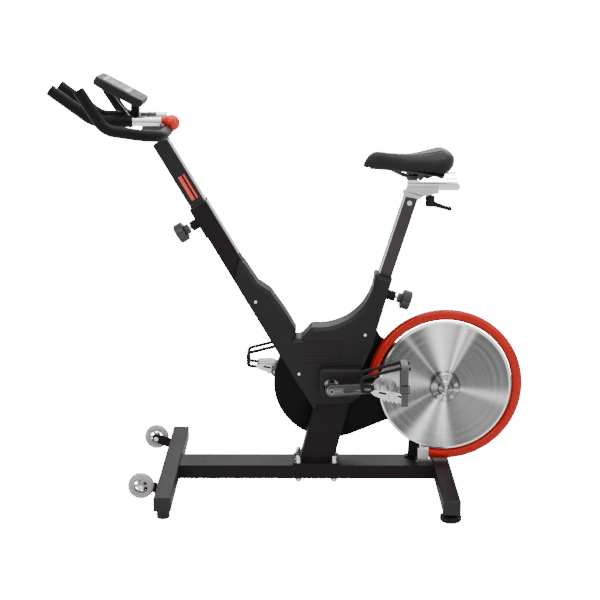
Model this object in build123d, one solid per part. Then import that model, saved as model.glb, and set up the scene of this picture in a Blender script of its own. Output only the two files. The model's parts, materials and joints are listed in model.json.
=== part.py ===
from build123d import *
import math
import os

os.makedirs("parts", exist_ok=True)

# An indoor exercise bike, millimetres, +Z up, origin on the floor under the middle of its box.
# +X points to the flywheel (rear), -X to the handlebar (front), -Y is the rider's left side.

# ---- driving dimensions ----
FLOOR_GAP = 28.0
BASE_HEIGHT = 42.0
BASE_TOP = FLOOR_GAP + BASE_HEIGHT
TUBE_WALL = 3.0
STABILISER_WIDTH = 50.0
FRONT_STABILISER_X = -367.0
FRONT_STABILISER_LENGTH = 612.0
REAR_STABILISER_X = 452.0
REAR_STABILISER_LENGTH = 660.0
BEAM_WIDTH = 100.0
WHEEL_X, WHEEL_Z, WHEEL_Y = -437.0, 69.0, 210.0
WHEEL_RADIUS, WHEEL_WIDTH = 37.5, 24.0

CRANK_X, CRANK_Z = 116.0, 327.0
CRANK_LENGTH = 170.0
CRANK_ANGLE = 4.0
CRANK_INNER_Y, CRANK_OUTER_Y = 108.0, 123.0
PEDAL_INNER_Y, PEDAL_OUTER_Y = 132.0, 205.0
PEDAL_TILT = 12.0
STRAP_WIDTH = 20.0

FLYWHEEL_X, FLYWHEEL_Z = 456.5, 310.0
FLYWHEEL_RADIUS = 199.0
FLYWHEEL_NEAR_Y, FLYWHEEL_FAR_Y = -15.0, -3.0
RING_RADIUS, RING_TUBE_RADIUS = 217.0, 12.5
RING_START, RING_END = -106.0, 172.0
BELT_Y, BELT_WIDTH, BELT_THICKNESS = 65.0, 18.0, 4.0
CRANK_PULLEY_RADIUS, FLYWHEEL_PULLEY_RADIUS = 138.0, 23.0
PULLEY_RIM, PULLEY_HOLE_CIRCLE, PULLEY_HOLE = 12.0, 80.0, 28.0
GUARD_X, GUARD_Z = 117.8, 300.8
GUARD_RADIUS, GUARD_SMALL_RADIUS = 174.8, 52.0
GUARD_WALL = 2.5
GUARD_INNER_Y, GUARD_OUTER_Y = 47.0, 95.0

MAST_LEAN = 30.37
MAST_TOP_X, MAST_TOP_Z = -386.0, 1055.0
POST_DEPTH, POST_WIDTH = 46.0, 60.0
MAST_SLEEVE_TOP = 225.0
MAST_PIN_DISTANCE = 273.6
POST_LENGTH = 400.0
POST_TOP = 14.0
SEAT_LEAN = 17.37
SEAT_SLEEVE_X, SEAT_SLEEVE_Z = 271.5, 648.0
SEAT_POST_SIZE = 40.0
SEAT_POST_TOP, SEAT_POST_BOTTOM = 253.0, -140.0
SEAT_PIN_DISTANCE = -52.7
SLIDE_GAP = 0.3
FIT = 0.05

BAR_RADIUS, GRIP_RADIUS, INNER_BAR_RADIUS = 16.0, 16.0, 13.0
OUTER_BAR_Y, INNER_BAR_Y = 205.0, 77.0
CASING_Y, CASING_WALL = 44.0, 3.0

MAST_HALF_DEPTH = POST_DEPTH / 2 + SLIDE_GAP + TUBE_WALL - 0.6
MAST_HALF_WIDTH = POST_WIDTH / 2 + SLIDE_GAP + TUBE_WALL - 0.6
SEAT_TUBE_HALF = SEAT_POST_SIZE / 2 + SLIDE_GAP + TUBE_WALL
COLUMN_HALF_WIDTH = 27.0
COLUMN_TOP = 352.0
COLUMN_SLOPE = 0.2576
COLUMN_DEPTH = 103.0
PLATE_TOP = BASE_TOP + 6.0
BOLT_X = (18.0, 126.0)
BOLT_Y = 38.0
BEARING_RADIUS, BEARING_BORE, BEARING_WIDTH = 21.0, 10.0, 12.0
SHELL_RADIUS, SHELL_HALF = 26.0, 40.0
FRONT_FOOT_Y, FRONT_FOOT_RADIUS = 278.0, 19.0
CAP_FACE = 3.0
LEVEL_FOOT_Y, LEVEL_FOOT_RADIUS = 297.0, 31.0
STAY_INNER_Y, STAY_OUTER_Y = 13.0, 29.0
STRUT_INNER_Y, STRUT_OUTER_Y = 19.0, 33.0
HOUSING_RADIUS = 30.0
MAGNET_PIVOT_X, MAGNET_PIVOT_Z = 352.0, 396.0
SHAFT_RADIUS = BEARING_BORE - FIT
MAGNET_X, MAGNET_Z = 378.0, 452.0
BULGE_Y = 75.0
SCREW_PLACES = ((-107, 576), (20, 356), (215, 476))
PIN_REST = 0.3
PIN_RADIUS = 5.0
OUTER_CROSS_X, OUTER_CROSS_Z = -358.0, 1074.0
INNER_BAR_Z = 1106.0
LEVER_PIVOT_X, LEVER_PIVOT_Z = -402.0, 1113.0
LEVER_BALL_X, LEVER_BALL_Z, LEVER_BALL_RADIUS = -331.0, 1100.0, 17.5
CONSOLE_X, CONSOLE_Z, CONSOLE_TILT = -488.0, 1187.0, 28.0
CONSOLE_LENGTH, CONSOLE_WIDTH, CONSOLE_THICKNESS = 150.0, 165.0, 25.0
HEAD_FLOOR = 900.7
SLIDE_BOTTOM, SLIDE_TOP = 901.0, 923.0
LOCK_X = 401.0
SADDLE_STATIONS = (
    (208, 12, 986, 969), (222, 22, 1003, 966), (250, 29, 1012, 964), (290, 35, 1011, 962),
    (330, 48, 1007, 958), (370, 72, 1011, 953), (408, 90, 1020, 949), (438, 86, 1022, 952),
    (457, 62, 1009, 961), (466, 34, 993, 971),
)

nodes = {}


# ---- shared shapes ----
def block(x0, x1, y0, y1, z0, z1):
    size = (x1 - x0, y1 - y0, z1 - z0)
    middle = ((x0 + x1) / 2, (y0 + y1) / 2, (z0 + z1) / 2)
    return Pos(*middle) * Box(*size)


def rod_y(x, z, radius, y0, y1):
    """A cylinder along Y."""
    return Pos(x, (y0 + y1) / 2, z) * Rot(90, 0, 0) * Cylinder(radius, abs(y1 - y0))


def rod_z(x, y, radius, z0, z1):
    """A cylinder along Z."""
    return Pos(x, y, (z0 + z1) / 2) * Cylinder(radius, z1 - z0)


def rod(start, end, radius):
    """A cylinder between two points."""
    line = Vector(*end) - Vector(*start)
    plane = Plane(origin=start, z_dir=line)
    return extrude(plane * Circle(radius), amount=line.length)


def slab(points, y0, y1):
    """A flat plate with straight edges, given by its side outline in X and Z."""
    outline = make_face(Polyline(*[(x, y0, z) for x, z in points], close=True))
    return extrude(outline, amount=y1 - y0, dir=(0, 1, 0))


def belt_hull(x0, z0, radius0, x1, z1, radius1, y0, y1):
    """A plate round two circles and their outer tangents."""
    span = math.hypot(x1 - x0, z1 - z0)
    along = math.atan2(z1 - z0, x1 - x0)
    side = math.acos((radius0 - radius1) / span)

    def at(x, z, radius, angle):
        return (x + radius * math.cos(angle), y0, z + radius * math.sin(angle))

    top0, top1 = at(x0, z0, radius0, along + side), at(x1, z1, radius1, along + side)
    low0, low1 = at(x0, z0, radius0, along - side), at(x1, z1, radius1, along - side)
    edges = [
        Line(top0, top1),
        ThreePointArc(top1, at(x1, z1, radius1, along), low1),
        Line(low1, low0),
        ThreePointArc(low0, at(x0, z0, radius0, along + math.pi), top0),
    ]
    return extrude(make_face(edges), amount=y1 - y0, dir=(0, 1, 0))


def bent_tube(points, radii, radius, bore=0.0):
    """A tube along straight runs joined by arcs."""
    path = FilletPolyline(*points, radius=radii)
    section = Plane(origin=path @ 0, z_dir=path % 0) * Circle(radius)
    tube = sweep(section, path=path)
    if bore:
        tube -= sweep(Plane(origin=path @ 0, z_dir=path % 0) * Circle(bore), path=path)
    return tube


def mirrored(shape):
    return mirror(shape, about=Plane.XZ)


def both_sides(shape):
    return [shape, mirrored(shape)]


def solids_of(shapes):
    found = []
    for shape in shapes:
        found += shape.solids()
    return found


def save(name, *shapes):
    found = solids_of(shapes)
    result = found[0] if len(found) == 1 else Compound(children=found)
    result.label = name
    nodes[name] = result
    export_step(result, f"parts/{name}.step")


# ---- slanted frames of the mast and the seat post ----
def mast_point(down, forward=0.0):
    """A point down the mast's axis from its top, and out of its front face."""
    lean = math.radians(MAST_LEAN)
    x = MAST_TOP_X + down * math.sin(lean) - forward * math.cos(lean)
    z = MAST_TOP_Z - down * math.cos(lean) - forward * math.sin(lean)
    return x, z


def seat_point(up, back=0.0):
    """A point up the seat post's axis from the sleeve's mouth, and out of its rear face."""
    lean = math.radians(SEAT_LEAN)
    x = SEAT_SLEEVE_X + up * math.sin(lean) + back * math.cos(lean)
    z = SEAT_SLEEVE_Z + up * math.cos(lean) - back * math.sin(lean)
    return x, z


def mast_block(down0, down1, half_depth, half_width):
    corners = [(down0, half_depth), (down0, -half_depth), (down1, -half_depth), (down1, half_depth)]
    return slab([mast_point(*corner) for corner in corners], -half_width, half_width)


def seat_block(up0, up1, half_depth, half_width):
    corners = [(up0, -half_depth), (up0, half_depth), (up1, half_depth), (up1, -half_depth)]
    return slab([seat_point(*corner) for corner in corners], -half_width, half_width)


def mast_rod(forward0, forward1, radius, down=MAST_PIN_DISTANCE):
    x0, z0 = mast_point(down, forward0)
    x1, z1 = mast_point(down, forward1)
    return rod((x0, 0, z0), (x1, 0, z1), radius)


def seat_rod(back0, back1, radius, up=SEAT_PIN_DISTANCE):
    x0, z0 = seat_point(up, back0)
    x1, z1 = seat_point(up, back1)
    return rod((x0, 0, z0), (x1, 0, z1), radius)


def column_front_x(z):
    return 66.0 + COLUMN_SLOPE * (z - 250.0)


def column_outline(low, high, inset=0.0):
    return [
        (column_front_x(low) + inset, low),
        (column_front_x(low) + COLUMN_DEPTH - inset, low),
        (column_front_x(high) + COLUMN_DEPTH - inset, high),
        (column_front_x(high) + inset, high),
    ]


# ---- base: beam, two stabilisers, caps, feet ----
def box_tube_x(x0, x1, half_width):
    outer = block(x0, x1, -half_width, half_width, FLOOR_GAP, BASE_TOP)
    inside = block(x0, x1, -half_width + TUBE_WALL, half_width - TUBE_WALL,
                   FLOOR_GAP + TUBE_WALL, BASE_TOP - TUBE_WALL)
    return outer - inside


def box_tube_y(x, length):
    half = STABILISER_WIDTH / 2
    outer = block(x - half, x + half, -length / 2, length / 2, FLOOR_GAP, BASE_TOP)
    outer = fillet(outer.edges().filter_by(Axis.Y), 4)
    inside = block(x - half + TUBE_WALL, x + half - TUBE_WALL, -length / 2, length / 2,
                   FLOOR_GAP + TUBE_WALL, BASE_TOP - TUBE_WALL)
    return outer - inside


def end_cap(x, length):
    """A moulded plug that closes one end of a stabiliser."""
    half = STABILISER_WIDTH / 2
    inner = half - TUBE_WALL - 0.2
    face = block(x - half, x + half, -length / 2, -length / 2 + 3, FLOOR_GAP, BASE_TOP)
    face = fillet(face.edges().filter_by(Axis.Y), 4)
    face = chamfer(face.faces().sort_by(Axis.Y)[0].edges(), 1)
    plug = block(x - inner, x + inner, -length / 2 + 3, -length / 2 + 25,
                 FLOOR_GAP + TUBE_WALL + 0.2, BASE_TOP - TUBE_WALL - 0.2)
    return face + plug


def make_base():
    beam = box_tube_x(FRONT_STABILISER_X + STABILISER_WIDTH / 2,
                      REAR_STABILISER_X - STABILISER_WIDTH / 2, BEAM_WIDTH / 2)
    for x in BOLT_X:
        for y in (-BOLT_Y, BOLT_Y):
            beam -= rod_z(x, y, 5.2, 0, 100)
    save("base_beam", beam)

    front = box_tube_y(FRONT_STABILISER_X, FRONT_STABILISER_LENGTH - 2 * CAP_FACE)
    bracket_face = FRONT_STABILISER_X - STABILISER_WIDTH / 2
    bracket = belt_hull(bracket_face + 10, WHEEL_Z - 19, 16, WHEEL_X, WHEEL_Z, 13, -195, -190)
    bracket -= block(bracket_face, bracket_face + 60, -300, 0, 0, 120)
    bracket -= rod_y(WHEEL_X, WHEEL_Z, 4 + FIT, -196, -189)
    front = front + bracket + mirrored(bracket)
    save("front_stabiliser", front)

    rear = box_tube_y(REAR_STABILISER_X, REAR_STABILISER_LENGTH - 2 * CAP_FACE)
    for y in (-LEVEL_FOOT_Y, LEVEL_FOOT_Y):
        rear -= rod_z(REAR_STABILISER_X, y, 5 + FIT, 0, FLOOR_GAP + 10)
    save("rear_stabiliser", rear)

    foot = rod_z(FRONT_STABILISER_X, -FRONT_FOOT_Y, FRONT_FOOT_RADIUS, 0, FLOOR_GAP)
    foot = chamfer(foot.edges().sort_by(Axis.Z)[0], 2)
    caps = both_sides(end_cap(FRONT_STABILISER_X, FRONT_STABILISER_LENGTH))
    caps += both_sides(end_cap(REAR_STABILISER_X, REAR_STABILISER_LENGTH))
    save("stabiliser_caps_and_feet", *caps, *both_sides(foot))


def make_levelling_feet():
    profile = [(0, 0), (LEVEL_FOOT_RADIUS - 3, 0), (LEVEL_FOOT_RADIUS, 4), (LEVEL_FOOT_RADIUS, 13),
               (LEVEL_FOOT_RADIUS - 5, 17), (13, 19), (13, 27.7), (5, 27.7), (5, 60), (0, 60)]
    section = make_face(Polyline(*[(x, 0, z) for x, z in profile], close=True))
    foot = revolve(section, Axis.Z)
    save("left_levelling_foot", Pos(REAR_STABILISER_X, -LEVEL_FOOT_Y, 0) * foot)
    save("right_levelling_foot", Pos(REAR_STABILISER_X, LEVEL_FOOT_Y, 0) * foot)


def make_transport_wheels():
    """Moulded wheels: a soft tyre round a spoked core, on the axle bolt."""
    half = WHEEL_WIDTH / 2
    tyre = rod_y(WHEEL_X, WHEEL_Z, WHEEL_RADIUS, -WHEEL_Y - half, -WHEEL_Y + half)
    tyre = fillet(tyre.edges(), 8)
    tyre -= rod_y(WHEEL_X, WHEEL_Z, 25, -WHEEL_Y - 20, -WHEEL_Y + 20)
    core = rod_y(WHEEL_X, WHEEL_Z, 25 - FIT, -WHEEL_Y - 10, -WHEEL_Y + 10)
    core -= rod_y(WHEEL_X, WHEEL_Z, 20, -WHEEL_Y - 20, -WHEEL_Y + 20)
    core += rod_y(WHEEL_X, WHEEL_Z, 11, -WHEEL_Y - 12, -WHEEL_Y + 12)
    for turn in range(6):
        spoke = Pos(WHEEL_X, -WHEEL_Y, WHEEL_Z) * Rot(0, 60 * turn, 0) * Pos(15.5, 0, 0) * Box(11, 14, 4)
        core += spoke
    core -= rod_y(WHEEL_X, WHEEL_Z, 4 + FIT, -WHEEL_Y - 20, -WHEEL_Y + 20)
    save("left_transport_wheel", tyre, core)
    save("right_transport_wheel", mirrored(tyre), mirrored(core))


# ---- bolts of the base ----
def hexagon_nut(x, y, z0, height, across=17.0):
    face = Pos(x, y, z0) * RegularPolygon(across / 2, 6, major_radius=False)
    return extrude(face, amount=height)


def make_frame_bolts():
    pieces = []
    for x in BOLT_X:
        for y in (-BOLT_Y, BOLT_Y):
            stud = rod_z(x, y, 5, 18, PLATE_TOP + 16)
            washer = rod_z(x, y, 10, PLATE_TOP, PLATE_TOP + 2) - rod_z(x, y, 5 + FIT, 0, 200)
            nut = hexagon_nut(x, y, PLATE_TOP + 2, 9) - rod_z(x, y, 5 + FIT, 0, 200)
            cap = rod_z(x, y, 7.5, PLATE_TOP + 11, PLATE_TOP + 22)
            cap = fillet(cap.edges().sort_by(Axis.Z)[-1], 6)
            cap -= rod_z(x, y, 5 + FIT, 0, PLATE_TOP + 16 + FIT)
            low = hexagon_nut(x, y, FLOOR_GAP - 8, 8) + rod_z(x, y, 7.5, FLOOR_GAP - 14, FLOOR_GAP - 8)
            low = fillet(low.edges().sort_by(Axis.Z)[0], 5)
            low -= rod_z(x, y, 5 + FIT, 18 - FIT, 60)
            pieces += [stud, washer, nut, cap, low]
    for sign in (-1, 1):
        bolt = rod_y(WHEEL_X, WHEEL_Z, 4, sign * 186, sign * 228)
        bolt += rod_y(WHEEL_X, WHEEL_Z, 8, sign * (WHEEL_Y + WHEEL_WIDTH / 2 + 1), sign * 228)
        nut = rod_y(WHEEL_X, WHEEL_Z, 7, sign * 184, sign * 190)
        nut -= rod_y(WHEEL_X, WHEEL_Z, 4 + FIT, sign * 180, sign * 195)
        pieces += [bolt, nut]
    save("frame_bolts", *pieces)


# ---- welded frame ----
def make_frame():
    column = slab(column_outline(PLATE_TOP, COLUMN_TOP), -COLUMN_HALF_WIDTH, COLUMN_HALF_WIDTH)
    hollow = slab(column_outline(PLATE_TOP, COLUMN_TOP - TUBE_WALL, TUBE_WALL),
                  -COLUMN_HALF_WIDTH + TUBE_WALL, COLUMN_HALF_WIDTH - TUBE_WALL)
    column -= hollow
    plate = block(2, 142, -BEAM_WIDTH / 2, BEAM_WIDTH / 2, BASE_TOP, PLATE_TOP)
    plate = fillet(plate.edges().filter_by(Axis.Z), 8)
    for x in BOLT_X:
        for y in (-BOLT_Y, BOLT_Y):
            plate -= rod_z(x, y, 5 + FIT, 0, 200)
    shell = rod_y(CRANK_X, CRANK_Z, SHELL_RADIUS, -SHELL_HALF, SHELL_HALF)
    column = column + plate + shell
    column -= rod_y(CRANK_X, CRANK_Z, BEARING_RADIUS + FIT, -SHELL_HALF, -SHELL_HALF + BEARING_WIDTH)
    column -= rod_y(CRANK_X, CRANK_Z, BEARING_RADIUS + FIT, SHELL_HALF - BEARING_WIDTH, SHELL_HALF)
    column -= rod_y(CRANK_X, CRANK_Z, BEARING_RADIUS - 3, -SHELL_HALF, SHELL_HALF)
    save("frame_column", column)

    mast = mast_block(MAST_SLEEVE_TOP, 860, MAST_HALF_DEPTH, MAST_HALF_WIDTH)
    mast -= mast_block(MAST_SLEEVE_TOP - 1, 900, POST_DEPTH / 2 + SLIDE_GAP, POST_WIDTH / 2 + SLIDE_GAP)
    behind = [(column_front_x(100), 100), (column_front_x(400), 400), (500, 400), (500, 100)]
    mast -= slab(behind, -100, 100)
    mast = [piece for piece in mast.solids() if piece.volume > 20000][0]
    pad = mast_block(MAST_SLEEVE_TOP + 5, MAST_SLEEVE_TOP + 98, MAST_HALF_DEPTH + 5, 22)
    pad -= mast_block(0, 900, MAST_HALF_DEPTH, 60)
    front_pad = pad.solids().sort_by(Axis.X)[0]
    mast += front_pad
    mast -= mast_rod(0, 60, 7 + FIT)
    save("mast_tube", mast)

    tube = seat_block(-400, 0, SEAT_TUBE_HALF, SEAT_TUBE_HALF)
    tube -= seat_block(-401, 1, SEAT_POST_SIZE / 2 + SLIDE_GAP, SEAT_POST_SIZE / 2 + SLIDE_GAP)
    tube -= block(-100, 500, -100, 100, 0, COLUMN_TOP)
    tube -= seat_rod(0, 60, 7 + FIT)
    save("seat_tube", tube)


def make_rear_stay():
    outline = [(200, 358), (243, 352), (300, 350), (425, 286), (456, 283), (482, 318), (455, 338),
               (372, 414), (300, 434), (266, 452), (250, 478), (212, 472)]
    stay = slab(outline, STAY_INNER_Y, STAY_OUTER_Y)
    stay -= seat_block(-400, 10, SEAT_TUBE_HALF, 60)
    stay -= slab(column_outline(60, COLUMN_TOP), -60, 60)
    stay = stay.solids().sort_by(SortBy.VOLUME)[-1]
    stay += rod_y(FLYWHEEL_X, FLYWHEEL_Z, HOUSING_RADIUS, 2, 46)
    stay -= rod_y(FLYWHEEL_X, FLYWHEEL_Z, BEARING_RADIUS - 3, 2, 46)
    stay -= rod_y(FLYWHEEL_X, FLYWHEEL_Z, BEARING_RADIUS + FIT, 2, 2 + BEARING_WIDTH)
    stay -= rod_y(FLYWHEEL_X, FLYWHEEL_Z, BEARING_RADIUS + FIT, 46 - BEARING_WIDTH, 46)
    stay += rod_y(MAGNET_PIVOT_X, MAGNET_PIVOT_Z, 6, 3, STAY_INNER_Y + 2)
    save("rear_stay", stay)

    strut = slab([(352, BASE_TOP), (388, BASE_TOP), (390, 130), (475, 290), (440, 300), (356, 150)],
                 STRUT_INNER_Y, STRUT_OUTER_Y)
    foot = block(344, 398, STRUT_INNER_Y, 46, BASE_TOP, BASE_TOP + 5)
    strut = strut + foot
    strut -= rod_y(FLYWHEEL_X, FLYWHEEL_Z, HOUSING_RADIUS + FIT, 0, 60)
    strut -= slab(outline, STAY_INNER_Y - 1, STRUT_OUTER_Y + 1)
    strut = strut.solids().sort_by(SortBy.VOLUME)[-1]
    save("lower_strut", strut)


def bearing(x, z, y0):
    ring = rod_y(x, z, BEARING_RADIUS, y0, y0 + BEARING_WIDTH)
    return ring - rod_y(x, z, BEARING_BORE, y0 - 1, y0 + BEARING_WIDTH + 1)


def make_bearings():
    save("bearings",
         bearing(CRANK_X, CRANK_Z, -SHELL_HALF), bearing(CRANK_X, CRANK_Z, SHELL_HALF - BEARING_WIDTH),
         bearing(FLYWHEEL_X, FLYWHEEL_Z, 2), bearing(FLYWHEEL_X, FLYWHEEL_Z, 46 - BEARING_WIDTH))


# ---- flywheel and its guard ring ----


def make_flywheel():
    disc = rod_y(FLYWHEEL_X, FLYWHEEL_Z, FLYWHEEL_RADIUS, FLYWHEEL_NEAR_Y, FLYWHEEL_FAR_Y)
    disc = chamfer(disc.edges(), 2)
    disc -= rod_y(FLYWHEEL_X, FLYWHEEL_Z, 20 + FIT, -20, 0)
    hub_profile = [(0, -54), (7, -54), (9, -52), (9, -44), (20, -42), (24, -36), (42, -33), (45, -28),
                   (45, FLYWHEEL_NEAR_Y), (20, FLYWHEEL_NEAR_Y), (20, -1), (SHAFT_RADIUS, -1),
                   (SHAFT_RADIUS, 51), (FLYWHEEL_PULLEY_RADIUS + 3, 51), (FLYWHEEL_PULLEY_RADIUS + 3, 54),
                   (FLYWHEEL_PULLEY_RADIUS, 54), (FLYWHEEL_PULLEY_RADIUS, 76), (SHAFT_RADIUS, 76),
                   (SHAFT_RADIUS, 84), (0, 84)]
    section = make_face(Polyline(*[(r, y, 0) for r, y in hub_profile], close=True))
    hub = Pos(FLYWHEEL_X, 0, FLYWHEEL_Z) * revolve(section, Axis.Y)
    screws = []
    for turn in range(5):
        angle = math.radians(90 + 72 * turn)
        x = FLYWHEEL_X + 33 * math.cos(angle)
        z = FLYWHEEL_Z + 33 * math.sin(angle)
        hub -= rod_y(x, z, 3 + FIT, -60, -1)
        hub -= rod_y(x, z, 6.5, -60, -30)
        disc -= rod_y(x, z, 3 + FIT, -60, -1)
        head = rod_y(x, z, 5.5, -36, -30)
        head -= extrude(Plane(origin=(x, -36, z), z_dir=(0, -1, 0)) * RegularPolygon(2.5, 6), amount=-3)
        screws.append(head + rod_y(x, z, 3, -30, FLYWHEEL_FAR_Y))
    save("flywheel_disc", disc)
    save("flywheel_hub", hub)
    save("hub_screws", *screws)


def ring_arc(start, end, radius, bore=0.0):
    """A bent tube round the flywheel's axis, from one angle to another."""
    profile = Circle(radius) - Circle(bore) if bore else Circle(radius)
    section = Pos(RING_RADIUS, 0, 0) * profile
    arc = revolve(section, Axis.Y, revolution_arc=end - start)
    return Pos(FLYWHEEL_X, 0, FLYWHEEL_Z) * Rot(0, -end, 0) * arc


def ring_place(angle):
    turn = math.radians(angle)
    return FLYWHEEL_X + RING_RADIUS * math.cos(turn), FLYWHEEL_Z + RING_RADIUS * math.sin(turn)


def make_guard_ring():
    ring = ring_arc(RING_START, RING_END, RING_TUBE_RADIUS, RING_TUBE_RADIUS - 2)
    lug_x, lug_z = ring_place(166)
    lug = rod_y(lug_x, lug_z, 9, 8, STAY_INNER_Y)
    lug -= ring_arc(150, 180, RING_TUBE_RADIUS - 1)
    ring += lug
    save("guard_ring", ring)

    clamp = block(380, 412, -18, 18, BASE_TOP, 113)
    clamp = fillet(clamp.edges().filter_by(Axis.X), 5)
    clamp -= ring_arc(RING_START - 2, -60, RING_TUBE_RADIUS + FIT)
    bolts = [rod_z(396, y, 4, 113, 117) for y in (-13, 13)]
    clamp += block(374, 418, -18, 18, BASE_TOP, BASE_TOP + 5)
    save("ring_clamp", clamp, *bolts)


# ---- drive: crank, pulley, belt, belt guard ----
def hull_drive(grow, y0, y1):
    return belt_hull(CRANK_X, CRANK_Z, CRANK_PULLEY_RADIUS + grow,
                     FLYWHEEL_X, FLYWHEEL_Z, FLYWHEEL_PULLEY_RADIUS + grow, y0, y1)


def guard_hull(grow, y0, y1):
    return belt_hull(GUARD_X, GUARD_Z, GUARD_RADIUS + grow,
                     FLYWHEEL_X, FLYWHEEL_Z, GUARD_SMALL_RADIUS + grow, y0, y1)


def make_drive():
    half = BELT_WIDTH / 2
    belt = hull_drive(0.4 + BELT_THICKNESS, BELT_Y - half, BELT_Y + half)
    belt -= hull_drive(0.4, BELT_Y - half - 1, BELT_Y + half + 1)
    save("drive_belt", belt)

    middle = (GUARD_INNER_Y + GUARD_OUTER_Y) / 2
    inner = guard_hull(0, GUARD_INNER_Y, middle) - guard_hull(-GUARD_WALL, GUARD_INNER_Y + GUARD_WALL, middle + 1)
    outer = guard_hull(0, middle + 0.2, GUARD_OUTER_Y)
    outer = chamfer(outer.faces().sort_by(Axis.Y)[-1].edges(), 2)
    outer -= guard_hull(-GUARD_WALL, middle - 1, GUARD_OUTER_Y - GUARD_WALL)
    for opening, x, z in ((30, CRANK_X, CRANK_Z), (34, FLYWHEEL_X, FLYWHEEL_Z)):
        inner -= rod_y(x, z, opening, 0, GUARD_INNER_Y + 5)
    outer -= rod_y(CRANK_X, CRANK_Z, 30, GUARD_OUTER_Y - 5, GUARD_OUTER_Y + 5)
    save("belt_guard", inner, outer)

    pulley = rod_y(CRANK_X, CRANK_Z, CRANK_PULLEY_RADIUS, BELT_Y - 11, BELT_Y + 11)
    pulley -= rod_y(CRANK_X, CRANK_Z, CRANK_PULLEY_RADIUS - PULLEY_RIM, BELT_Y - 12, BELT_Y - 3)
    pulley -= rod_y(CRANK_X, CRANK_Z, CRANK_PULLEY_RADIUS - PULLEY_RIM, BELT_Y + 3, BELT_Y + 12)
    for turn in range(6):
        angle = math.radians(60 * turn)
        x = CRANK_X + PULLEY_HOLE_CIRCLE * math.cos(angle)
        z = CRANK_Z + PULLEY_HOLE_CIRCLE * math.sin(angle)
        pulley -= rod_y(x, z, PULLEY_HOLE, 0, 100)
    pulley += rod_y(CRANK_X, CRANK_Z, 24, BELT_Y - 15, BELT_Y + 15)
    pulley -= rod_y(CRANK_X, CRANK_Z, SHAFT_RADIUS + FIT, 0, 100)
    save("crank_pulley", pulley)

    axle = rod_y(CRANK_X, CRANK_Z, SHAFT_RADIUS, -CRANK_OUTER_Y, CRANK_OUTER_Y)
    for sign in (-1, 1):
        head = rod_y(CRANK_X, CRANK_Z, 9, sign * CRANK_OUTER_Y, sign * (CRANK_OUTER_Y + 3))
        head -= rod_y(CRANK_X, CRANK_Z, 5, sign * (CRANK_OUTER_Y + 1), sign * (CRANK_OUTER_Y + 4))
        axle += head
    axle += rod_y(CRANK_X, CRANK_Z, 13, SHELL_HALF + 0.5, BELT_Y - 15)
    save("crank_axle", axle)


def pedal_centre(side):
    """Side is -1 for the rider's left pedal and +1 for the right one."""
    angle = math.radians(CRANK_ANGLE)
    return (CRANK_X - side * CRANK_LENGTH * math.cos(angle),
            CRANK_Z - side * CRANK_LENGTH * math.sin(angle))


def crank_point(side, share):
    """A point along the crank's middle line, from its axle at 0 to the pedal at 1."""
    end_x, end_z = pedal_centre(side)
    return CRANK_X + share * (end_x - CRANK_X), CRANK_Z + share * (end_z - CRANK_Z)


def make_crank(name, side):
    end_x, end_z = pedal_centre(side)
    y0, y1 = sorted((side * CRANK_INNER_Y, side * CRANK_OUTER_Y))
    arm = belt_hull(CRANK_X, CRANK_Z, 18, end_x, end_z, 14, y0, y1)
    face = -1 if side < 0 else 0
    arm = chamfer(arm.faces().sort_by(Axis.Y)[0 if face else -1].edges(), 2)
    groove_from, groove_to = crank_point(side, 0.24), crank_point(side, 0.80)
    g0, g1 = sorted((side * (CRANK_OUTER_Y - 3), side * (CRANK_OUTER_Y + 3)))
    arm -= belt_hull(*groove_from, 7, *groove_to, 5, g0, g1)
    arm += rod_y(CRANK_X, CRANK_Z, 19, side * (CRANK_INNER_Y - 12), side * CRANK_INNER_Y)
    arm -= rod_y(CRANK_X, CRANK_Z, SHAFT_RADIUS + FIT, side * 80, side * 140)
    arm -= rod_y(end_x, end_z, 6 + FIT, side * 80, side * 140)
    save(name, arm)


def make_pedal(prefix, side):
    """A cage pedal with a toe clip in front and a strap round it."""
    x, z = pedal_centre(side)
    body = block(-52, 48, -(PEDAL_OUTER_Y - PEDAL_INNER_Y) / 2, (PEDAL_OUTER_Y - PEDAL_INNER_Y) / 2,
                 -11, 11)
    body = fillet(body.edges().filter_by(Axis.Z), 14)
    body = chamfer(body.faces().filter_by(Axis.Z).edges(), 2)
    for low, high in ((-44, -18), (18, 40)):
        body -= block(low, high, -28, -3, -20, 20)
        body -= block(low, high, 3, 28, -20, 20)
    body += rod_y(0, 0, 14, -36, 36)
    body -= rod_y(0, 0, 7 + FIT, -40, 33)
    middle_y = (PEDAL_INNER_Y + PEDAL_OUTER_Y) / 2
    place = Pos(x, side * middle_y, z) * Rot(0, PEDAL_TILT, 0)
    if side < 0:
        body = mirrored(body)
    save(f"{prefix}_pedal", place * body)

    rails = []
    for rail_y in (-29, 29):
        points = [(-50, rail_y, -2), (-86, rail_y, -6), (-94, rail_y, 34), (6, rail_y, 84), (34, rail_y, 88)]
        rails.append(bent_tube(points, [10, 12, 40], 3.5))
    cage = rails[0] + rails[1]
    cage += rod((-92.5, -29, 26.5), (-92.5, 29, 26.5), 3.5)
    cage += rod((-84, -29, -5.2), (-84, 29, -5.2), 3.5)
    cage -= block(-52, 48, -40, 40, -11, 11)
    save(f"{prefix}_toe_cage", place * cage)

    strap = Box(STRAP_WIDTH, 81.5, 124)
    strap = fillet(strap.edges().filter_by(Axis.X), 12)
    inside = Box(STRAP_WIDTH + 6, 77.5, 120)
    inside = fillet(inside.edges().filter_by(Axis.X), 10)
    save(f"{prefix}_strap", place * Pos(30, 0, 35) * Rot(0, -PEDAL_TILT, 0) * (strap - inside))


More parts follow.
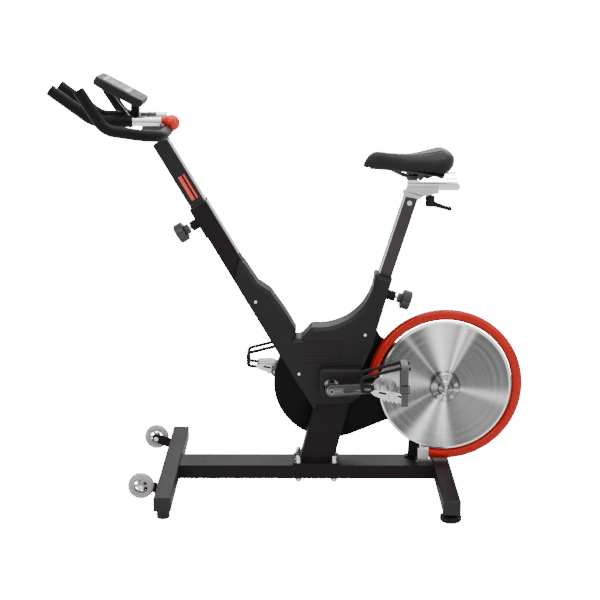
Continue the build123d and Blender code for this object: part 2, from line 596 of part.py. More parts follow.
def make_spindles():
    pieces = []
    for side in (-1, 1):
        x, z = pedal_centre(side)
        y = [side * value for value in (CRANK_INNER_Y - 2, CRANK_OUTER_Y, PEDAL_INNER_Y - 4, PEDAL_OUTER_Y - 6)]
        pieces.append(rod_y(x, z, 6, y[0], y[1]) + rod_y(x, z, 10, y[1], y[2]) + rod_y(x, z, 7, y[2], y[3]))
    save("pedal_spindles", *pieces)


# ---- magnetic brake behind the disc ----


def make_magnet_carrier():
    arm = belt_hull(MAGNET_PIVOT_X, MAGNET_PIVOT_Z, 15, MAGNET_X, MAGNET_Z, 20, 4.5, 10)
    arm -= rod_y(MAGNET_PIVOT_X, MAGNET_PIVOT_Z, 6 + FIT, 0, 20)
    magnets = [rod_y(MAGNET_X + offset, MAGNET_Z, 8, -0.5, 4.5) for offset in (-10, 10)]
    save("magnet_carrier", arm, *magnets)


# ---- plastic casing round the frame ----
def casing_front_x(z):
    """The casing's front edge, parallel to the mast."""
    return 28.0 + (308.0 - z) * 0.586


def casing_outline():
    """The silhouette of the casing, from the mast over the hump to the seat sleeve and back."""
    return [
        Line((casing_front_x(641), 641), (-154, 700)),
        Line((-154, 700), (-140, 690)),
        Line((-140, 690), (-100, 629)),
        Line((-100, 629), (-64, 605)),
        Line((-64, 605), (-18, 539)),
        Line((-18, 539), (12, 487)),
        Line((12, 487), (10, 463)),
        Line((10, 463), (27, 463)),
        Line((27, 463), (58, 497)),
        Line((58, 497), (72, 497)),
        ThreePointArc((72, 497), (181, 533), (241, 640)),
        Line((241, 640), (243, 658)),
        Line((243, 658), (293, 643)),
        Line((293, 643), (250, 487)),
        Line((250, 487), (240, 446)),
        Line((240, 446), (207, 370)),
        Line((207, 370), (206, 292)),
        Line((206, 292), (176, 266)),
        Line((176, 266), (70, 262)),
        Line((70, 262), (68, 246)),
        Line((68, 246), (casing_front_x(250), 250)),
        Line((casing_front_x(250), 250), (casing_front_x(641), 641)),
    ]


def make_casing():
    outline = make_face(casing_outline())
    side = Plane.XZ * outline
    inner_outline = Plane.XZ * offset(outline, amount=-CASING_WALL)
    outer = extrude(side, amount=CASING_Y)
    outer = bevelled(outer)
    cavity = extrude(inner_outline, amount=CASING_Y - 8)
    wide_outline = Plane.XZ * offset(outline, amount=-12)
    cavity += extrude(wide_outline, amount=CASING_Y - CASING_WALL)
    bulge = block(80, 206, -BULGE_Y, -CASING_Y + 4, 292, 378)
    bulge = fillet(bulge.edges().filter_by(Axis.Y), 14)
    bulge = fillet(bulge.faces().sort_by(Axis.Y)[0].edges(), 9)
    bulge_cavity = block(84, 202, -BULGE_Y + 3, -CASING_Y + 8, 296, 374)
    bulge_cavity = fillet(bulge_cavity.edges().filter_by(Axis.Y), 12)
    left = outer + bulge - cavity - bulge_cavity
    left -= rod_y(CRANK_X, CRANK_Z, 23, -100, -50)
    right = mirrored(outer - cavity)
    right -= rod_y(CRANK_X, CRANK_Z, SHELL_RADIUS + 3, 20, 100)
    frame_space = [
        mast_block(MAST_SLEEVE_TOP, 860, MAST_HALF_DEPTH + SLIDE_GAP, MAST_HALF_WIDTH + SLIDE_GAP),
        seat_block(-400, 60, SEAT_TUBE_HALF + SLIDE_GAP, SEAT_TUBE_HALF + SLIDE_GAP),
        slab(column_outline(60, COLUMN_TOP + 1, -SLIDE_GAP), -COLUMN_HALF_WIDTH - 1, COLUMN_HALF_WIDTH + 1),
        seat_rod(0, 60, 17),
    ]
    stay_space = slab([(200, 340), (300, 340), (300, 470), (250, 478.5), (200, 474)], 12.5, 29.5)
    halves = []
    for half in (left, right):
        for space in frame_space:
            half -= space
        half -= stay_space
        half -= block(-400, 500, -0.1, 0.1, 0, 900)
        half = half.solids().sort_by(SortBy.VOLUME)[-1]
        halves.append(half)
    for row in range(7):
        z = 456 - 11 * row
        groove = block(34, 150, -CASING_Y - 1, -CASING_Y + 1.2, z - 1.5, z + 1.5)
        halves[0] -= groove
        halves[1] -= mirrored(groove)
    for x, z in SCREW_PLACES:
        hole = rod_y(x, z, 2.5 + FIT, -60, -30)
        halves[0] -= hole
        halves[1] -= mirrored(hole)
    save("casing_left", halves[0])
    save("casing_right", halves[1])


def bevelled(body):
    """The casing's top and rear edges slope back; its front and bottom edges stay sharp."""
    face = body.faces().sort_by(Axis.Y)[0]
    wanted = [edge for edge in face.edges() if keeps_bevel(edge)]
    return chamfer(wanted, 10)


def keeps_bevel(edge):
    middle = edge @ 0.5
    ahead_of_mast = middle.Z < 680 and middle.X < casing_front_x(middle.Z) + 10
    return middle.Z > 380 and not ahead_of_mast and middle.X > -138


def make_screws():
    pieces = []
    for x, z in SCREW_PLACES:
        head = rod_y(x, z, 4.5, -CASING_Y - 2, -CASING_Y)
        head = fillet(head.edges().sort_by(Axis.Y)[0], 1.2)
        screw = head + rod_y(x, z, 2.5, -CASING_Y, -CASING_Y + 8)
        pieces += both_sides(screw)
    save("cover_screws", *pieces)


# ---- pull pins that lock the two posts ----


def spring_coil(radius, wire, pitch, turns):
    path = Helix(pitch=pitch, height=pitch * turns, radius=radius)
    return sweep(Plane(origin=path @ 0, z_dir=path % 0) * Circle(wire), path=path, is_frenet=True)


def make_pull_pins():
    pieces = []
    mast_face = MAST_HALF_DEPTH + 5
    coil = spring_coil(8, 0.9, 3, 2)
    for rod_at, point_at, face, mouth in ((mast_rod, mast_pin_point, mast_face, 54),
                                          (seat_rod, seat_pin_point, SEAT_TUBE_HALF, 50)):
        boss = rod_at(face, mouth, 15) - rod_at(0, mouth - 2, 12)
        boss -= rod_at(mouth - 5, mouth + 5, PIN_RADIUS + 0.1)
        pieces.append(boss)
        x, z = point_at(mouth - 3.2)
        x_in, z_in = point_at(0)
        pieces.append(Plane(origin=(x, 0, z), z_dir=(x_in - x, 0, z_in - z)) * coil)
    save("pull_pin_housings", *pieces)
    save("handlebar_pull_knob", pull_knob(mast_rod, mast_pin_point, POST_DEPTH / 2 + PIN_REST, mast_face + 3, 62))
    save("seat_pull_knob", pull_knob(seat_rod, seat_pin_point, SEAT_POST_SIZE / 2 + PIN_REST, SEAT_TUBE_HALF + 3, 58))


def mast_pin_point(forward):
    return mast_point(MAST_PIN_DISTANCE, forward)


def seat_pin_point(back):
    return seat_point(SEAT_PIN_DISTANCE, back)


def pull_knob(rod_at, point_at, nose, flange, collar):
    """A steel plunger with a moulded, lobed knob on its outer end."""
    pin = rod_at(nose, collar, PIN_RADIUS)
    pin += rod_at(flange, flange + 2, 10)
    knob = rod_at(collar, collar + 14, 15) + rod_at(collar + 12, collar + 40, 29)
    knob = fillet(knob.edges().filter_by(GeomType.CIRCLE).group_by(SortBy.LENGTH)[-1], 5)
    x, z = point_at(collar)
    x_out, z_out = point_at(collar + 40)
    plane = Plane(origin=(x, 0, z), z_dir=(x_out - x, 0, z_out - z))
    for turn in range(8):
        angle = 45 * turn
        flute = plane * Rot(0, 0, angle) * Pos(33, 0, 26) * Cylinder(6, 60)
        knob -= flute
    return pin + knob


# ---- handlebar post, head and bars ----


def outer_bar_points():
    return [(-575, -OUTER_BAR_Y, 1203), (-508, -OUTER_BAR_Y, 1096), (OUTER_CROSS_X, -OUTER_BAR_Y, OUTER_CROSS_Z),
            (OUTER_CROSS_X, OUTER_BAR_Y, OUTER_CROSS_Z), (-508, OUTER_BAR_Y, 1096), (-575, OUTER_BAR_Y, 1203)]


def inner_bar(radius, start_share, end_x):
    tip_x, tip_z = -676.0, 1194.0
    bend_x = -556.0
    x = tip_x + start_share * (bend_x - tip_x)
    z = tip_z + start_share * (INNER_BAR_Z - tip_z)
    points = [(x, -INNER_BAR_Y, z), (bend_x, -INNER_BAR_Y, INNER_BAR_Z), (end_x, -INNER_BAR_Y, INNER_BAR_Z)]
    return bent_tube(points, [70], radius)


def make_handlebar():
    half_depth, half_width = POST_DEPTH / 2, POST_WIDTH / 2
    post = mast_block(POST_TOP, POST_LENGTH, half_depth, half_width)
    post = fillet(post.edges().filter_by(lambda edge: edge.length > POST_LENGTH - POST_TOP - 1), 5)
    post -= mast_block(-1, POST_LENGTH + 1, half_depth - 3.5, half_width - 3.5)
    strip = mast_block(POST_TOP + 8, POST_LENGTH - 10, half_depth, 20)
    strip -= mast_block(0, POST_LENGTH, half_depth - 1, 100)
    strip = strip.solids().sort_by(Axis.X)[-1]
    post -= strip
    for step in range(11):
        post -= mast_rod(0, 40, PIN_RADIUS + 1, MAST_PIN_DISTANCE - 150 + 25 * step)
    save("handlebar_post", post)
    save("height_scale_strip", strip)

    outer = bent_tube(outer_bar_points(), [60, 80, 80, 60], BAR_RADIUS, BAR_RADIUS - 2.5)
    outer_solid = bent_tube(outer_bar_points(), [60, 80, 80, 60], BAR_RADIUS)
    tip, inward = Vector(*outer_bar_points()[0]), Vector(*outer_bar_points()[1])
    direction = (inward - tip).normalized()
    cap = rod(tuple(tip), tuple(tip + direction * 4), BAR_RADIUS - 2.5)
    outer = outer + cap + mirrored(cap)
    save("outer_bar", outer)

    bar = inner_bar(INNER_BAR_RADIUS, 0.03, -340)
    grip = inner_bar(GRIP_RADIUS, 0.0, -447) - inner_bar(INNER_BAR_RADIUS + FIT, 0.028, -300)
    bar -= outer_solid
    bar = bar.solids().sort_by(SortBy.VOLUME)[-1]
    save("inner_bars", *both_sides(bar))
    save("inner_bar_grips", *both_sides(grip))

    head = slab([(-418, 1044), (-352, 1060), (-334, 1066), (-334, 1082), (-388, 1090), (-424, 1094), (-430, 1068)],
                -46, 46)
    cheek = slab([(-420, 1090), (-384, 1090), (-390, 1124), (-414, 1124)], 9, 15)
    head = head + cheek + mirrored(cheek)
    head += rod_y(LEVER_PIVOT_X, LEVER_PIVOT_Z, 5, -15, 15)
    head -= mast_block(POST_TOP, 60, half_depth + FIT, half_width + FIT)
    head -= bent_tube(outer_bar_points(), [60, 80, 80, 60], BAR_RADIUS + FIT)
    head = head.solids().sort_by(SortBy.VOLUME)[-1]
    head -= rod_y(LEVER_PIVOT_X, LEVER_PIVOT_Z, 14, -9, 9) - rod_y(LEVER_PIVOT_X, LEVER_PIVOT_Z, 5, -20, 20)
    save("stem_head", head)

    lever = rod_y(LEVER_PIVOT_X, LEVER_PIVOT_Z, 12, -8, 8)
    lever += belt_hull(LEVER_PIVOT_X, LEVER_PIVOT_Z, 8, LEVER_BALL_X - 6, LEVER_BALL_Z + 2, 7, -7, 7)
    lever += Pos(LEVER_BALL_X, 0, LEVER_BALL_Z) * Sphere(LEVER_BALL_RADIUS)
    lever -= rod_y(LEVER_PIVOT_X, LEVER_PIVOT_Z, 5 + FIT, -10, 10)
    save("shift_lever", lever)


def make_console():
    place = Pos(CONSOLE_X, 0, CONSOLE_Z) * Rot(0, CONSOLE_TILT, 0)
    body = Box(CONSOLE_LENGTH, CONSOLE_WIDTH, CONSOLE_THICKNESS)
    body = fillet(body.edges().filter_by(Axis.Z), 24)
    body = fillet(body.edges().group_by(Axis.Z)[0], 8)
    body = fillet(body.edges().group_by(Axis.Z)[-1], 5)
    top = CONSOLE_THICKNESS / 2
    screen_space = Pos(-14, 0, top) * Box(84, 122, 3)
    body -= screen_space
    body -= Pos(52, 0, top) * Cylinder(8.3, 8)
    display = Pos(-14, 0, top - 0.75) * Box(83.8, 121.8, 1.5)
    button = Pos(52, 0, top - 0.4) * Cylinder(8, 4)
    button = fillet(button.edges().sort_by(Axis.Z)[-1], 1)
    save("console_body", place * body)
    save("console_display", place * display)
    save("console_button", place * Pos(0, 0, 0.2) * button)

    mount = slab([(-462, 1096), (-438, 1096), (-436, 1150), (-458, 1172)], -13, 13)
    mount += slab([(-468, 1106), (-452, 1098), (-530, 1200), (-546, 1196)], -9, 9)
    mount += rod_y(-446, INNER_BAR_Z, 9, -66, 66)
    mount -= inner_bar(GRIP_RADIUS + FIT, 0.0, -430)
    mount -= mirrored(inner_bar(GRIP_RADIUS + FIT, 0.0, -430))
    mount -= place * Pos(0, 0, 40) * Box(400, 400, 80 + CONSOLE_THICKNESS)
    mount = mount.solids().sort_by(SortBy.VOLUME)[-1]
    save("console_mount", mount)


# ---- seat ----


def make_seat():
    half = SEAT_POST_SIZE / 2
    post = seat_block(SEAT_POST_BOTTOM, SEAT_POST_TOP, half, half)
    post = fillet(post.edges().filter_by(lambda edge: edge.length > 300), 4)
    post -= seat_block(SEAT_POST_BOTTOM - 1, SEAT_POST_TOP + 1, half - 3, half - 3)
    for step in range(7):
        post -= seat_rod(0, 40, PIN_RADIUS + 1, SEAT_PIN_DISTANCE - 50 + 25 * step)
    bolt_x, bolt_z = seat_point(228)
    post -= rod_y(bolt_x, bolt_z, 4 + FIT, -30, 30)
    save("seat_post", post)

    bolt = rod_y(bolt_x, bolt_z, 4, -half, half)
    for sign in (-1, 1):
        head = rod_y(bolt_x, bolt_z, 7, sign * half, sign * (half + 4))
        bolt += head
    save("seat_post_bolt", bolt)

    head = seat_block(246, SEAT_POST_TOP + 4, half + 3.5, half + 3.5)
    head += slab([(330, 884), (368, 878), (382, 886), (424, 894), (424, HEAD_FLOOR), (325, HEAD_FLOOR),
                  (322, 892)], -22, 22)
    cheek = slab([(330, HEAD_FLOOR - 2), (422, HEAD_FLOOR - 2), (422, 913), (336, 913)], 16, 22)
    head = head + cheek + mirrored(cheek)
    head -= seat_block(150, SEAT_POST_TOP, half + FIT, half + FIT)
    head -= block(300, 500, -16, 16, HEAD_FLOOR, 960)
    head -= block(300, 500, -60, 60, 913, 960)
    head -= rod_z(LOCK_X, 0, 5 + FIT, 860, 910)
    head = head.solids().sort_by(SortBy.VOLUME)[-1]
    save("seat_head", head)

    slide = block(334, 475, -15.7, 15.7, SLIDE_BOTTOM, SLIDE_TOP) + rod_y(475, 912, 11, -15.7, 15.7)
    slide = fillet(slide.edges().filter_by(Axis.X), 3)
    slide += slab([(334, 920), (376, 920), (360, 931), (335, 931)], -13, 13)
    slide += rod_z(347, 0, 11, 931, 950)
    save("slide_bar", slide)

    clamp = rod_z(347, 0, 16, 931.1, 952.5) + rod_y(369, 942, 9.5, -30, 30)
    clamp += block(347, 369, -12, 12, 936, 950)
    clamp -= rod_z(347, 0, 11 + FIT, 900, 950.1)
    rail = saddle_rail(3.5 + FIT)
    clamp -= rail
    clamp -= mirrored(rail)
    save("saddle_clamp", clamp)
    rail = saddle_rail(3.5)
    base, pad = saddle_pieces()
    rail -= base
    rail = rail.solids().sort_by(SortBy.VOLUME)[-1]
    save("saddle_rails", *both_sides(rail))
    save("saddle_base", base)
    save("saddle_pad", pad)

    lever = rod_z(LOCK_X, 0, 13.5, 853, 883.5) + rod_z(LOCK_X, 0, 5, 883.5, 900)
    arm = rod((LOCK_X, 0, 862), (458, 0, 846), 5.5)
    arm += Pos(458, 0, 846) * Sphere(7)
    lever += arm
    save("seat_lock_lever", lever)


def saddle_rail(radius):
    points = [(262, -10, 972), (322, -22, 944), (398, -22, 942), (436, -34, 968)]
    return bent_tube(points, [30, 30], radius)


def saddle_pieces():
    sections = []
    for x, half_width, top, bottom in SADDLE_STATIONS:
        middle = (top + bottom) / 2
        height = top - bottom
        plane = Plane(origin=(x, 0, middle), x_dir=(0, 1, 0), z_dir=(1, 0, 0))
        radius = min(half_width, height / 2) * 0.92
        sections.append(plane * RectangleRounded(2 * half_width, height, radius))
    whole = loft(sections)
    low = [(190, 940), (480, 940), (480, 966), (190, 975)]
    base = whole & slab(low, -120, 120)
    pad = whole - slab(low, -120, 120)
    return base, pad


make_base()
make_levelling_feet()
make_transport_wheels()
make_frame_bolts()
make_frame()
make_rear_stay()
make_bearings()
make_flywheel()
make_guard_ring()
make_drive()
make_crank("left_crank", -1)
make_crank("right_crank", 1)
make_spindles()
make_pedal("left", -1)
make_pedal("right", 1)
make_magnet_carrier()
make_casing()
make_screws()
make_pull_pins()
make_handlebar()
make_console()
make_seat()
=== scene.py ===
import bmesh
import bpy
import json
import math
from mathutils import Matrix, Vector


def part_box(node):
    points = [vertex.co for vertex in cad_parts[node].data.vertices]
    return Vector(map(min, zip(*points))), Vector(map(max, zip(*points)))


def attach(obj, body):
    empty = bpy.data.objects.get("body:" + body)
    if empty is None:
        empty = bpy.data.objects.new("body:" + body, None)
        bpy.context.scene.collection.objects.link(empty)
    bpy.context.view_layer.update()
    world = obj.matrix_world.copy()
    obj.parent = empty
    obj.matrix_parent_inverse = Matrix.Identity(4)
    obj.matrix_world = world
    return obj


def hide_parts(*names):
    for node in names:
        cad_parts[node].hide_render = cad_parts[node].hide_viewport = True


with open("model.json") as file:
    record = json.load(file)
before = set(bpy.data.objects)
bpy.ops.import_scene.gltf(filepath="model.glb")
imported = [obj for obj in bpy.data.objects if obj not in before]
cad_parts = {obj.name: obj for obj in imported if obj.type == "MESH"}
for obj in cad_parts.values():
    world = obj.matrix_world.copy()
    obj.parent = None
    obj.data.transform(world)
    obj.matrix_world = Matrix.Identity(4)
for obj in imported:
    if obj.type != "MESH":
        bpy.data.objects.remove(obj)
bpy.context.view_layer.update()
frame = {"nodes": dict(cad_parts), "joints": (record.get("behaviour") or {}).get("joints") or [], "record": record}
nodes = frame["nodes"]
joints = {joint["name"]: joint for joint in frame["joints"]}
collection = bpy.context.scene.collection

# ---------------------------------------------------------------------------------------------
# The studio. A white seamless room: pale floor, one wide soft light above, two soft side lights,
# and a long-lens camera level with the handlebar, square to the rider's left side.
# ---------------------------------------------------------------------------------------------
CAMERA_PLACE = (0.036, -3.782, 1.4988)
CAMERA_LENS = 78.9
CAMERA_DOWN = 13.775
CAMERA_TURN = 0.2

camera = bpy.data.objects.new("camera", bpy.data.cameras.new("camera"))
camera.data.lens = CAMERA_LENS
camera.data.sensor_width = 36.0
camera.location = CAMERA_PLACE
camera.rotation_euler = (math.radians(90 - CAMERA_DOWN), 0, math.radians(CAMERA_TURN))
collection.objects.link(camera)
bpy.context.scene.camera = camera


class Amount:
    """A number inside a material. Sums written on it become Math nodes."""

    def __init__(self, finish, socket):
        self.finish = finish
        self.socket = socket

    def sum(self, operation, first, second=0.0):
        made = self.finish.node("ShaderNodeMath", {"operation": operation}, {0: first, 1: second})
        return Amount(self.finish, made.outputs[0])

    def __add__(self, other):
        return self.sum("ADD", self, other)

    def __radd__(self, other):
        return self.sum("ADD", other, self)

    def __sub__(self, other):
        return self.sum("SUBTRACT", self, other)

    def __rsub__(self, other):
        return self.sum("SUBTRACT", other, self)

    def __mul__(self, other):
        return self.sum("MULTIPLY", self, other)

    def __rmul__(self, other):
        return self.sum("MULTIPLY", other, self)

    def __truediv__(self, other):
        return self.sum("DIVIDE", self, other)

    def __pow__(self, other):
        return self.sum("POWER", self, other)

    def __abs__(self):
        return self.sum("ABSOLUTE", self)

    def above(self, other):
        return self.sum("GREATER_THAN", self, other)

    def least(self, other):
        return self.sum("MINIMUM", self, other)

    def wave(self):
        return self.sum("SINE", self)


class Finish:
    """One surface finish, built on a Principled shader."""

    def __init__(self, name, colour, roughness, metallic=0.0, **steady):
        self.material = bpy.data.materials.new(name)
        self.material.use_nodes = True
        self.tree = self.material.node_tree
        self.shader = self.tree.nodes["Principled BSDF"]
        self.shader.inputs["Base Color"].default_value = (*colour, 1.0)
        self.shader.inputs["Roughness"].default_value = roughness
        self.shader.inputs["Metallic"].default_value = metallic
        for socket, value in steady.items():
            title = socket.replace("_", " ").title().replace("Ior", "IOR")
            self.shader.inputs[title].default_value = value
        self.coordinates = None

    def node(self, kind, settings=None, sockets=None):
        made = self.tree.nodes.new(kind)
        for key, value in (settings or {}).items():
            if key == "stops":
                self.set_stops(made.color_ramp, value)
            else:
                setattr(made, key, value)
        for key, value in (sockets or {}).items():
            value = value.socket if isinstance(value, Amount) else value
            if isinstance(value, bpy.types.NodeSocket):
                self.tree.links.new(value, made.inputs[key])
            else:
                made.inputs[key].default_value = value
        return made

    @staticmethod
    def set_stops(ramp, stops):
        while len(ramp.elements) < len(stops):
            ramp.elements.new(0.5)
        for element, (position, level) in zip(ramp.elements, stops):
            element.position = position
            element.color = (level, level, level, 1.0)

    def place(self):
        if self.coordinates is None:
            self.coordinates = self.node("ShaderNodeTexCoord").outputs["Object"]
        return self.coordinates

    def moved(self, shift=(0, 0, 0), turn=(0, 0, 0), scale=(1, 1, 1)):
        made = self.node("ShaderNodeMapping", {}, {
            "Vector": self.place(), "Location": shift, "Rotation": turn, "Scale": scale})
        return made.outputs["Vector"]

    def axis(self, letter, vector=None):
        made = self.node("ShaderNodeSeparateXYZ", {}, {0: vector or self.place()})
        return Amount(self, made.outputs["XYZ".index(letter)])

    def noise(self, scale, detail=2.0, vector=None, roughness=0.5):
        made = self.node("ShaderNodeTexNoise", {}, {
            "Vector": vector or self.place(), "Scale": scale, "Detail": detail, "Roughness": roughness})
        return Amount(self, made.outputs[0])

    def ramp(self, amount, stops):
        made = self.node("ShaderNodeValToRGB", {"stops": stops}, {0: amount})
        return Amount(self, made.outputs[0])

    def blend(self, factor, first, second):
        made = self.node("ShaderNodeMix", {"data_type": "RGBA"}, {0: factor})
        for index, colour in ((6, first), (7, second)):
            if isinstance(colour, bpy.types.NodeSocket):
                self.tree.links.new(colour, made.inputs[index])
            else:
                made.inputs[index].default_value = (*colour, 1.0)
        return made.outputs[2]

    def feed(self, socket, value):
        value = value.socket if isinstance(value, Amount) else value
        self.tree.links.new(value, self.shader.inputs[socket])

    def bump(self, height, distance, strength=1.0):
        made = self.node("ShaderNodeBump", {}, {
            "Height": height, "Distance": distance, "Strength": strength})
        self.feed("Normal", made.outputs[0])


floor_mesh = bpy.data.meshes.new("studio_floor")
floor_mesh.from_pydata([(-40, -40, 0), (40, -40, 0), (40, 40, 0), (-40, 40, 0)], [], [(0, 1, 2, 3)])
floor = bpy.data.objects.new("studio_floor", floor_mesh)
collection.objects.link(floor)
floor_paint = Finish("floor_paint", (0.72, 0.72, 0.72), 0.8)
floor_paint.feed("Roughness", floor_paint.noise(3.0) * 0.1 + 0.75)
FLOOR_GLOW = 18.0
lit = floor_paint.node("ShaderNodeAddShader")
glow = floor_paint.node("ShaderNodeEmission", {}, {"Strength": FLOOR_GLOW})
pale = floor_paint.node("ShaderNodeBsdfDiffuse", {}, {"Color": (1, 1, 1, 1)})
floor_paint.tree.links.new(glow.outputs[0], lit.inputs[0])
floor_paint.tree.links.new(pale.outputs[0], lit.inputs[1])
chosen = floor_paint.node("ShaderNodeMixShader", {}, {
    0: floor_paint.node("ShaderNodeLightPath").outputs["Is Camera Ray"],
    1: floor_paint.shader.outputs[0], 2: lit.outputs[0]})
floor_paint.tree.links.new(chosen.outputs[0], floor_paint.tree.nodes["Material Output"].inputs[0])
floor_mesh.materials.append(floor_paint.material)

WALL_SEEN = 40.0
HORIZON_LIGHT, CEILING_LIGHT = 0.8, 2.6
world = bpy.data.worlds.new("studio_room")
bpy.context.scene.world = world
world.use_nodes = True
room = world.node_tree
backdrop = room.nodes["Background"]
backdrop.inputs["Color"].default_value = (1, 1, 1, 1)
backdrop.inputs["Strength"].default_value = WALL_SEEN
walls = room.nodes.new("ShaderNodeBackground")
up = room.nodes.new("ShaderNodeSeparateXYZ")
room.links.new(room.nodes.new("ShaderNodeTexCoord").outputs["Generated"], up.inputs[0])
fade = room.nodes.new("ShaderNodeMapRange")
fade.interpolation_type = "SMOOTHSTEP"
room.links.new(up.outputs[2], fade.inputs["Value"])
fade.inputs["From Min"].default_value = 0.02
fade.inputs["From Max"].default_value = 0.95
fade.inputs["To Min"].default_value = HORIZON_LIGHT
fade.inputs["To Max"].default_value = CEILING_LIGHT
room.links.new(fade.outputs[0], walls.inputs["Strength"])
seen = room.nodes.new("ShaderNodeLightPath")
either = room.nodes.new("ShaderNodeMixShader")
room.links.new(seen.outputs["Is Camera Ray"], either.inputs[0])
room.links.new(walls.outputs[0], either.inputs[1])
room.links.new(backdrop.outputs[0], either.inputs[2])
room.links.new(either.outputs[0], room.nodes["World Output"].inputs["Surface"])


def soft_light(name, place, target, size, watts):
    light = bpy.data.lights.new(name, "AREA")
    light.shape = "RECTANGLE"
    light.size, light.size_y = size
    light.energy = watts
    lamp = bpy.data.objects.new(name, light)
    lamp.location = place
    aim = Vector(target) - Vector(place)
    lamp.rotation_euler = aim.to_track_quat("-Z", "Y").to_euler()
    collection.objects.link(lamp)


soft_light("overhead_softbox", (0.0, 0.2, 3.6), (0, 0, 0.5), (3.6, 2.0), 90)
soft_light("left_softbox", (-2.6, -3.4, 2.6), (0, 0, 0.6), (0.9, 2.4), 46)
soft_light("right_softbox", (3.4, -2.2, 2.0), (0.2, 0, 0.5), (0.8, 2.4), 34)
soft_light("back_softbox", (0.4, 3.4, 2.2), (0, 0, 0.7), (3.4, 1.4), 50)


# ---------------------------------------------------------------------------------------------
# Welded frame: beam, stabilisers, column, mast, seat tube, rear stay and strut. Steel tube and
# plate, welded and powder coated satin black; every cut edge is slightly rounded under the paint.
# ---------------------------------------------------------------------------------------------
def powder_coat(name, colour=(0.0085, 0.0062, 0.0069), roughness=0.42):
    """Fine orange peel, with a little dust and handling wear in the gloss."""
    finish = Finish(name, colour, roughness, specular_ior_level=0.08)
    peel = finish.noise(1100.0, 2.0)
    cloud = finish.noise(9.0, 4.0)
    finish.feed("Roughness", cloud * 0.14 + (roughness - 0.07) + peel * 0.05)
    lighter = tuple(min(1.0, channel * 1.45 + 0.002) for channel in colour)
    finish.feed("Base Color", finish.blend(cloud * peel, colour, lighter))
    finish.bump(peel, 0.00005, 0.5)
    return finish.material


def add_piece(name, mesh, body, material=None):
    """Puts a finished mesh in the scene, riding on its body."""
    piece = bpy.data.objects.new(name, mesh)
    collection.objects.link(piece)
    if material:
        mesh.materials.clear()
        mesh.materials.append(material)
    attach(piece, body)
    return piece


def merged_copy(node):
    """The CAD part's triangles welded into one skin, with its flat faces whole."""
    shape = bmesh.new()
    shape.from_mesh(nodes[node].data)
    bmesh.ops.remove_doubles(shape, verts=shape.verts, dist=2e-6)
    bmesh.ops.dissolve_limit(shape, angle_limit=math.radians(0.6), verts=shape.verts, edges=shape.edges)
    mesh = bpy.data.meshes.new(node + "_skin")
    shape.to_mesh(mesh)
    shape.free()
    for layer in ("custom_normal",):
        if layer in mesh.attributes:
            mesh.attributes.remove(mesh.attributes[layer])
    while mesh.uv_layers:
        mesh.uv_layers.remove(mesh.uv_layers[0])
    mesh.materials.clear()
    return mesh


BODY_OF = {node: body for body, group in frame["record"]["behaviour"]["bodies"].items() for node in group}


def eased(node, width, material, segments=2, angle=38):
    """The part with its sharp edges rounded over, in place of the plain CAD one."""
    mesh = merged_copy(node)
    mesh.shade_smooth()
    mesh.set_sharp_from_angle(angle=math.radians(angle))
    piece = add_piece(node + "_finished", mesh, BODY_OF[node], material)
    edge = piece.modifiers.new("rounded_edges", "BEVEL")
    edge.width = width
    edge.segments = segments
    edge.limit_method = "ANGLE"
    edge.angle_limit = math.radians(angle)
    edge.use_clamp_overlap = True
    edge.harden_normals = True
    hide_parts(node)
    return piece


frame_black = powder_coat("frame_black")
for node, radius in (("base_beam", 0.0015), ("front_stabiliser", 0.0012), ("rear_stabiliser", 0.0012),
                     ("frame_column", 0.0025), ("mast_tube", 0.004), ("seat_tube", 0.003),
                     ("rear_stay", 0.002), ("lower_strut", 0.002), ("pull_pin_housings", 0.0012)):
    eased(node, radius, frame_black)


def dress(node, material):
    """Gives a CAD part, left as it is, its real finish."""
    for index in range(len(nodes[node].material_slots)):
        nodes[node].material_slots[index].material = material


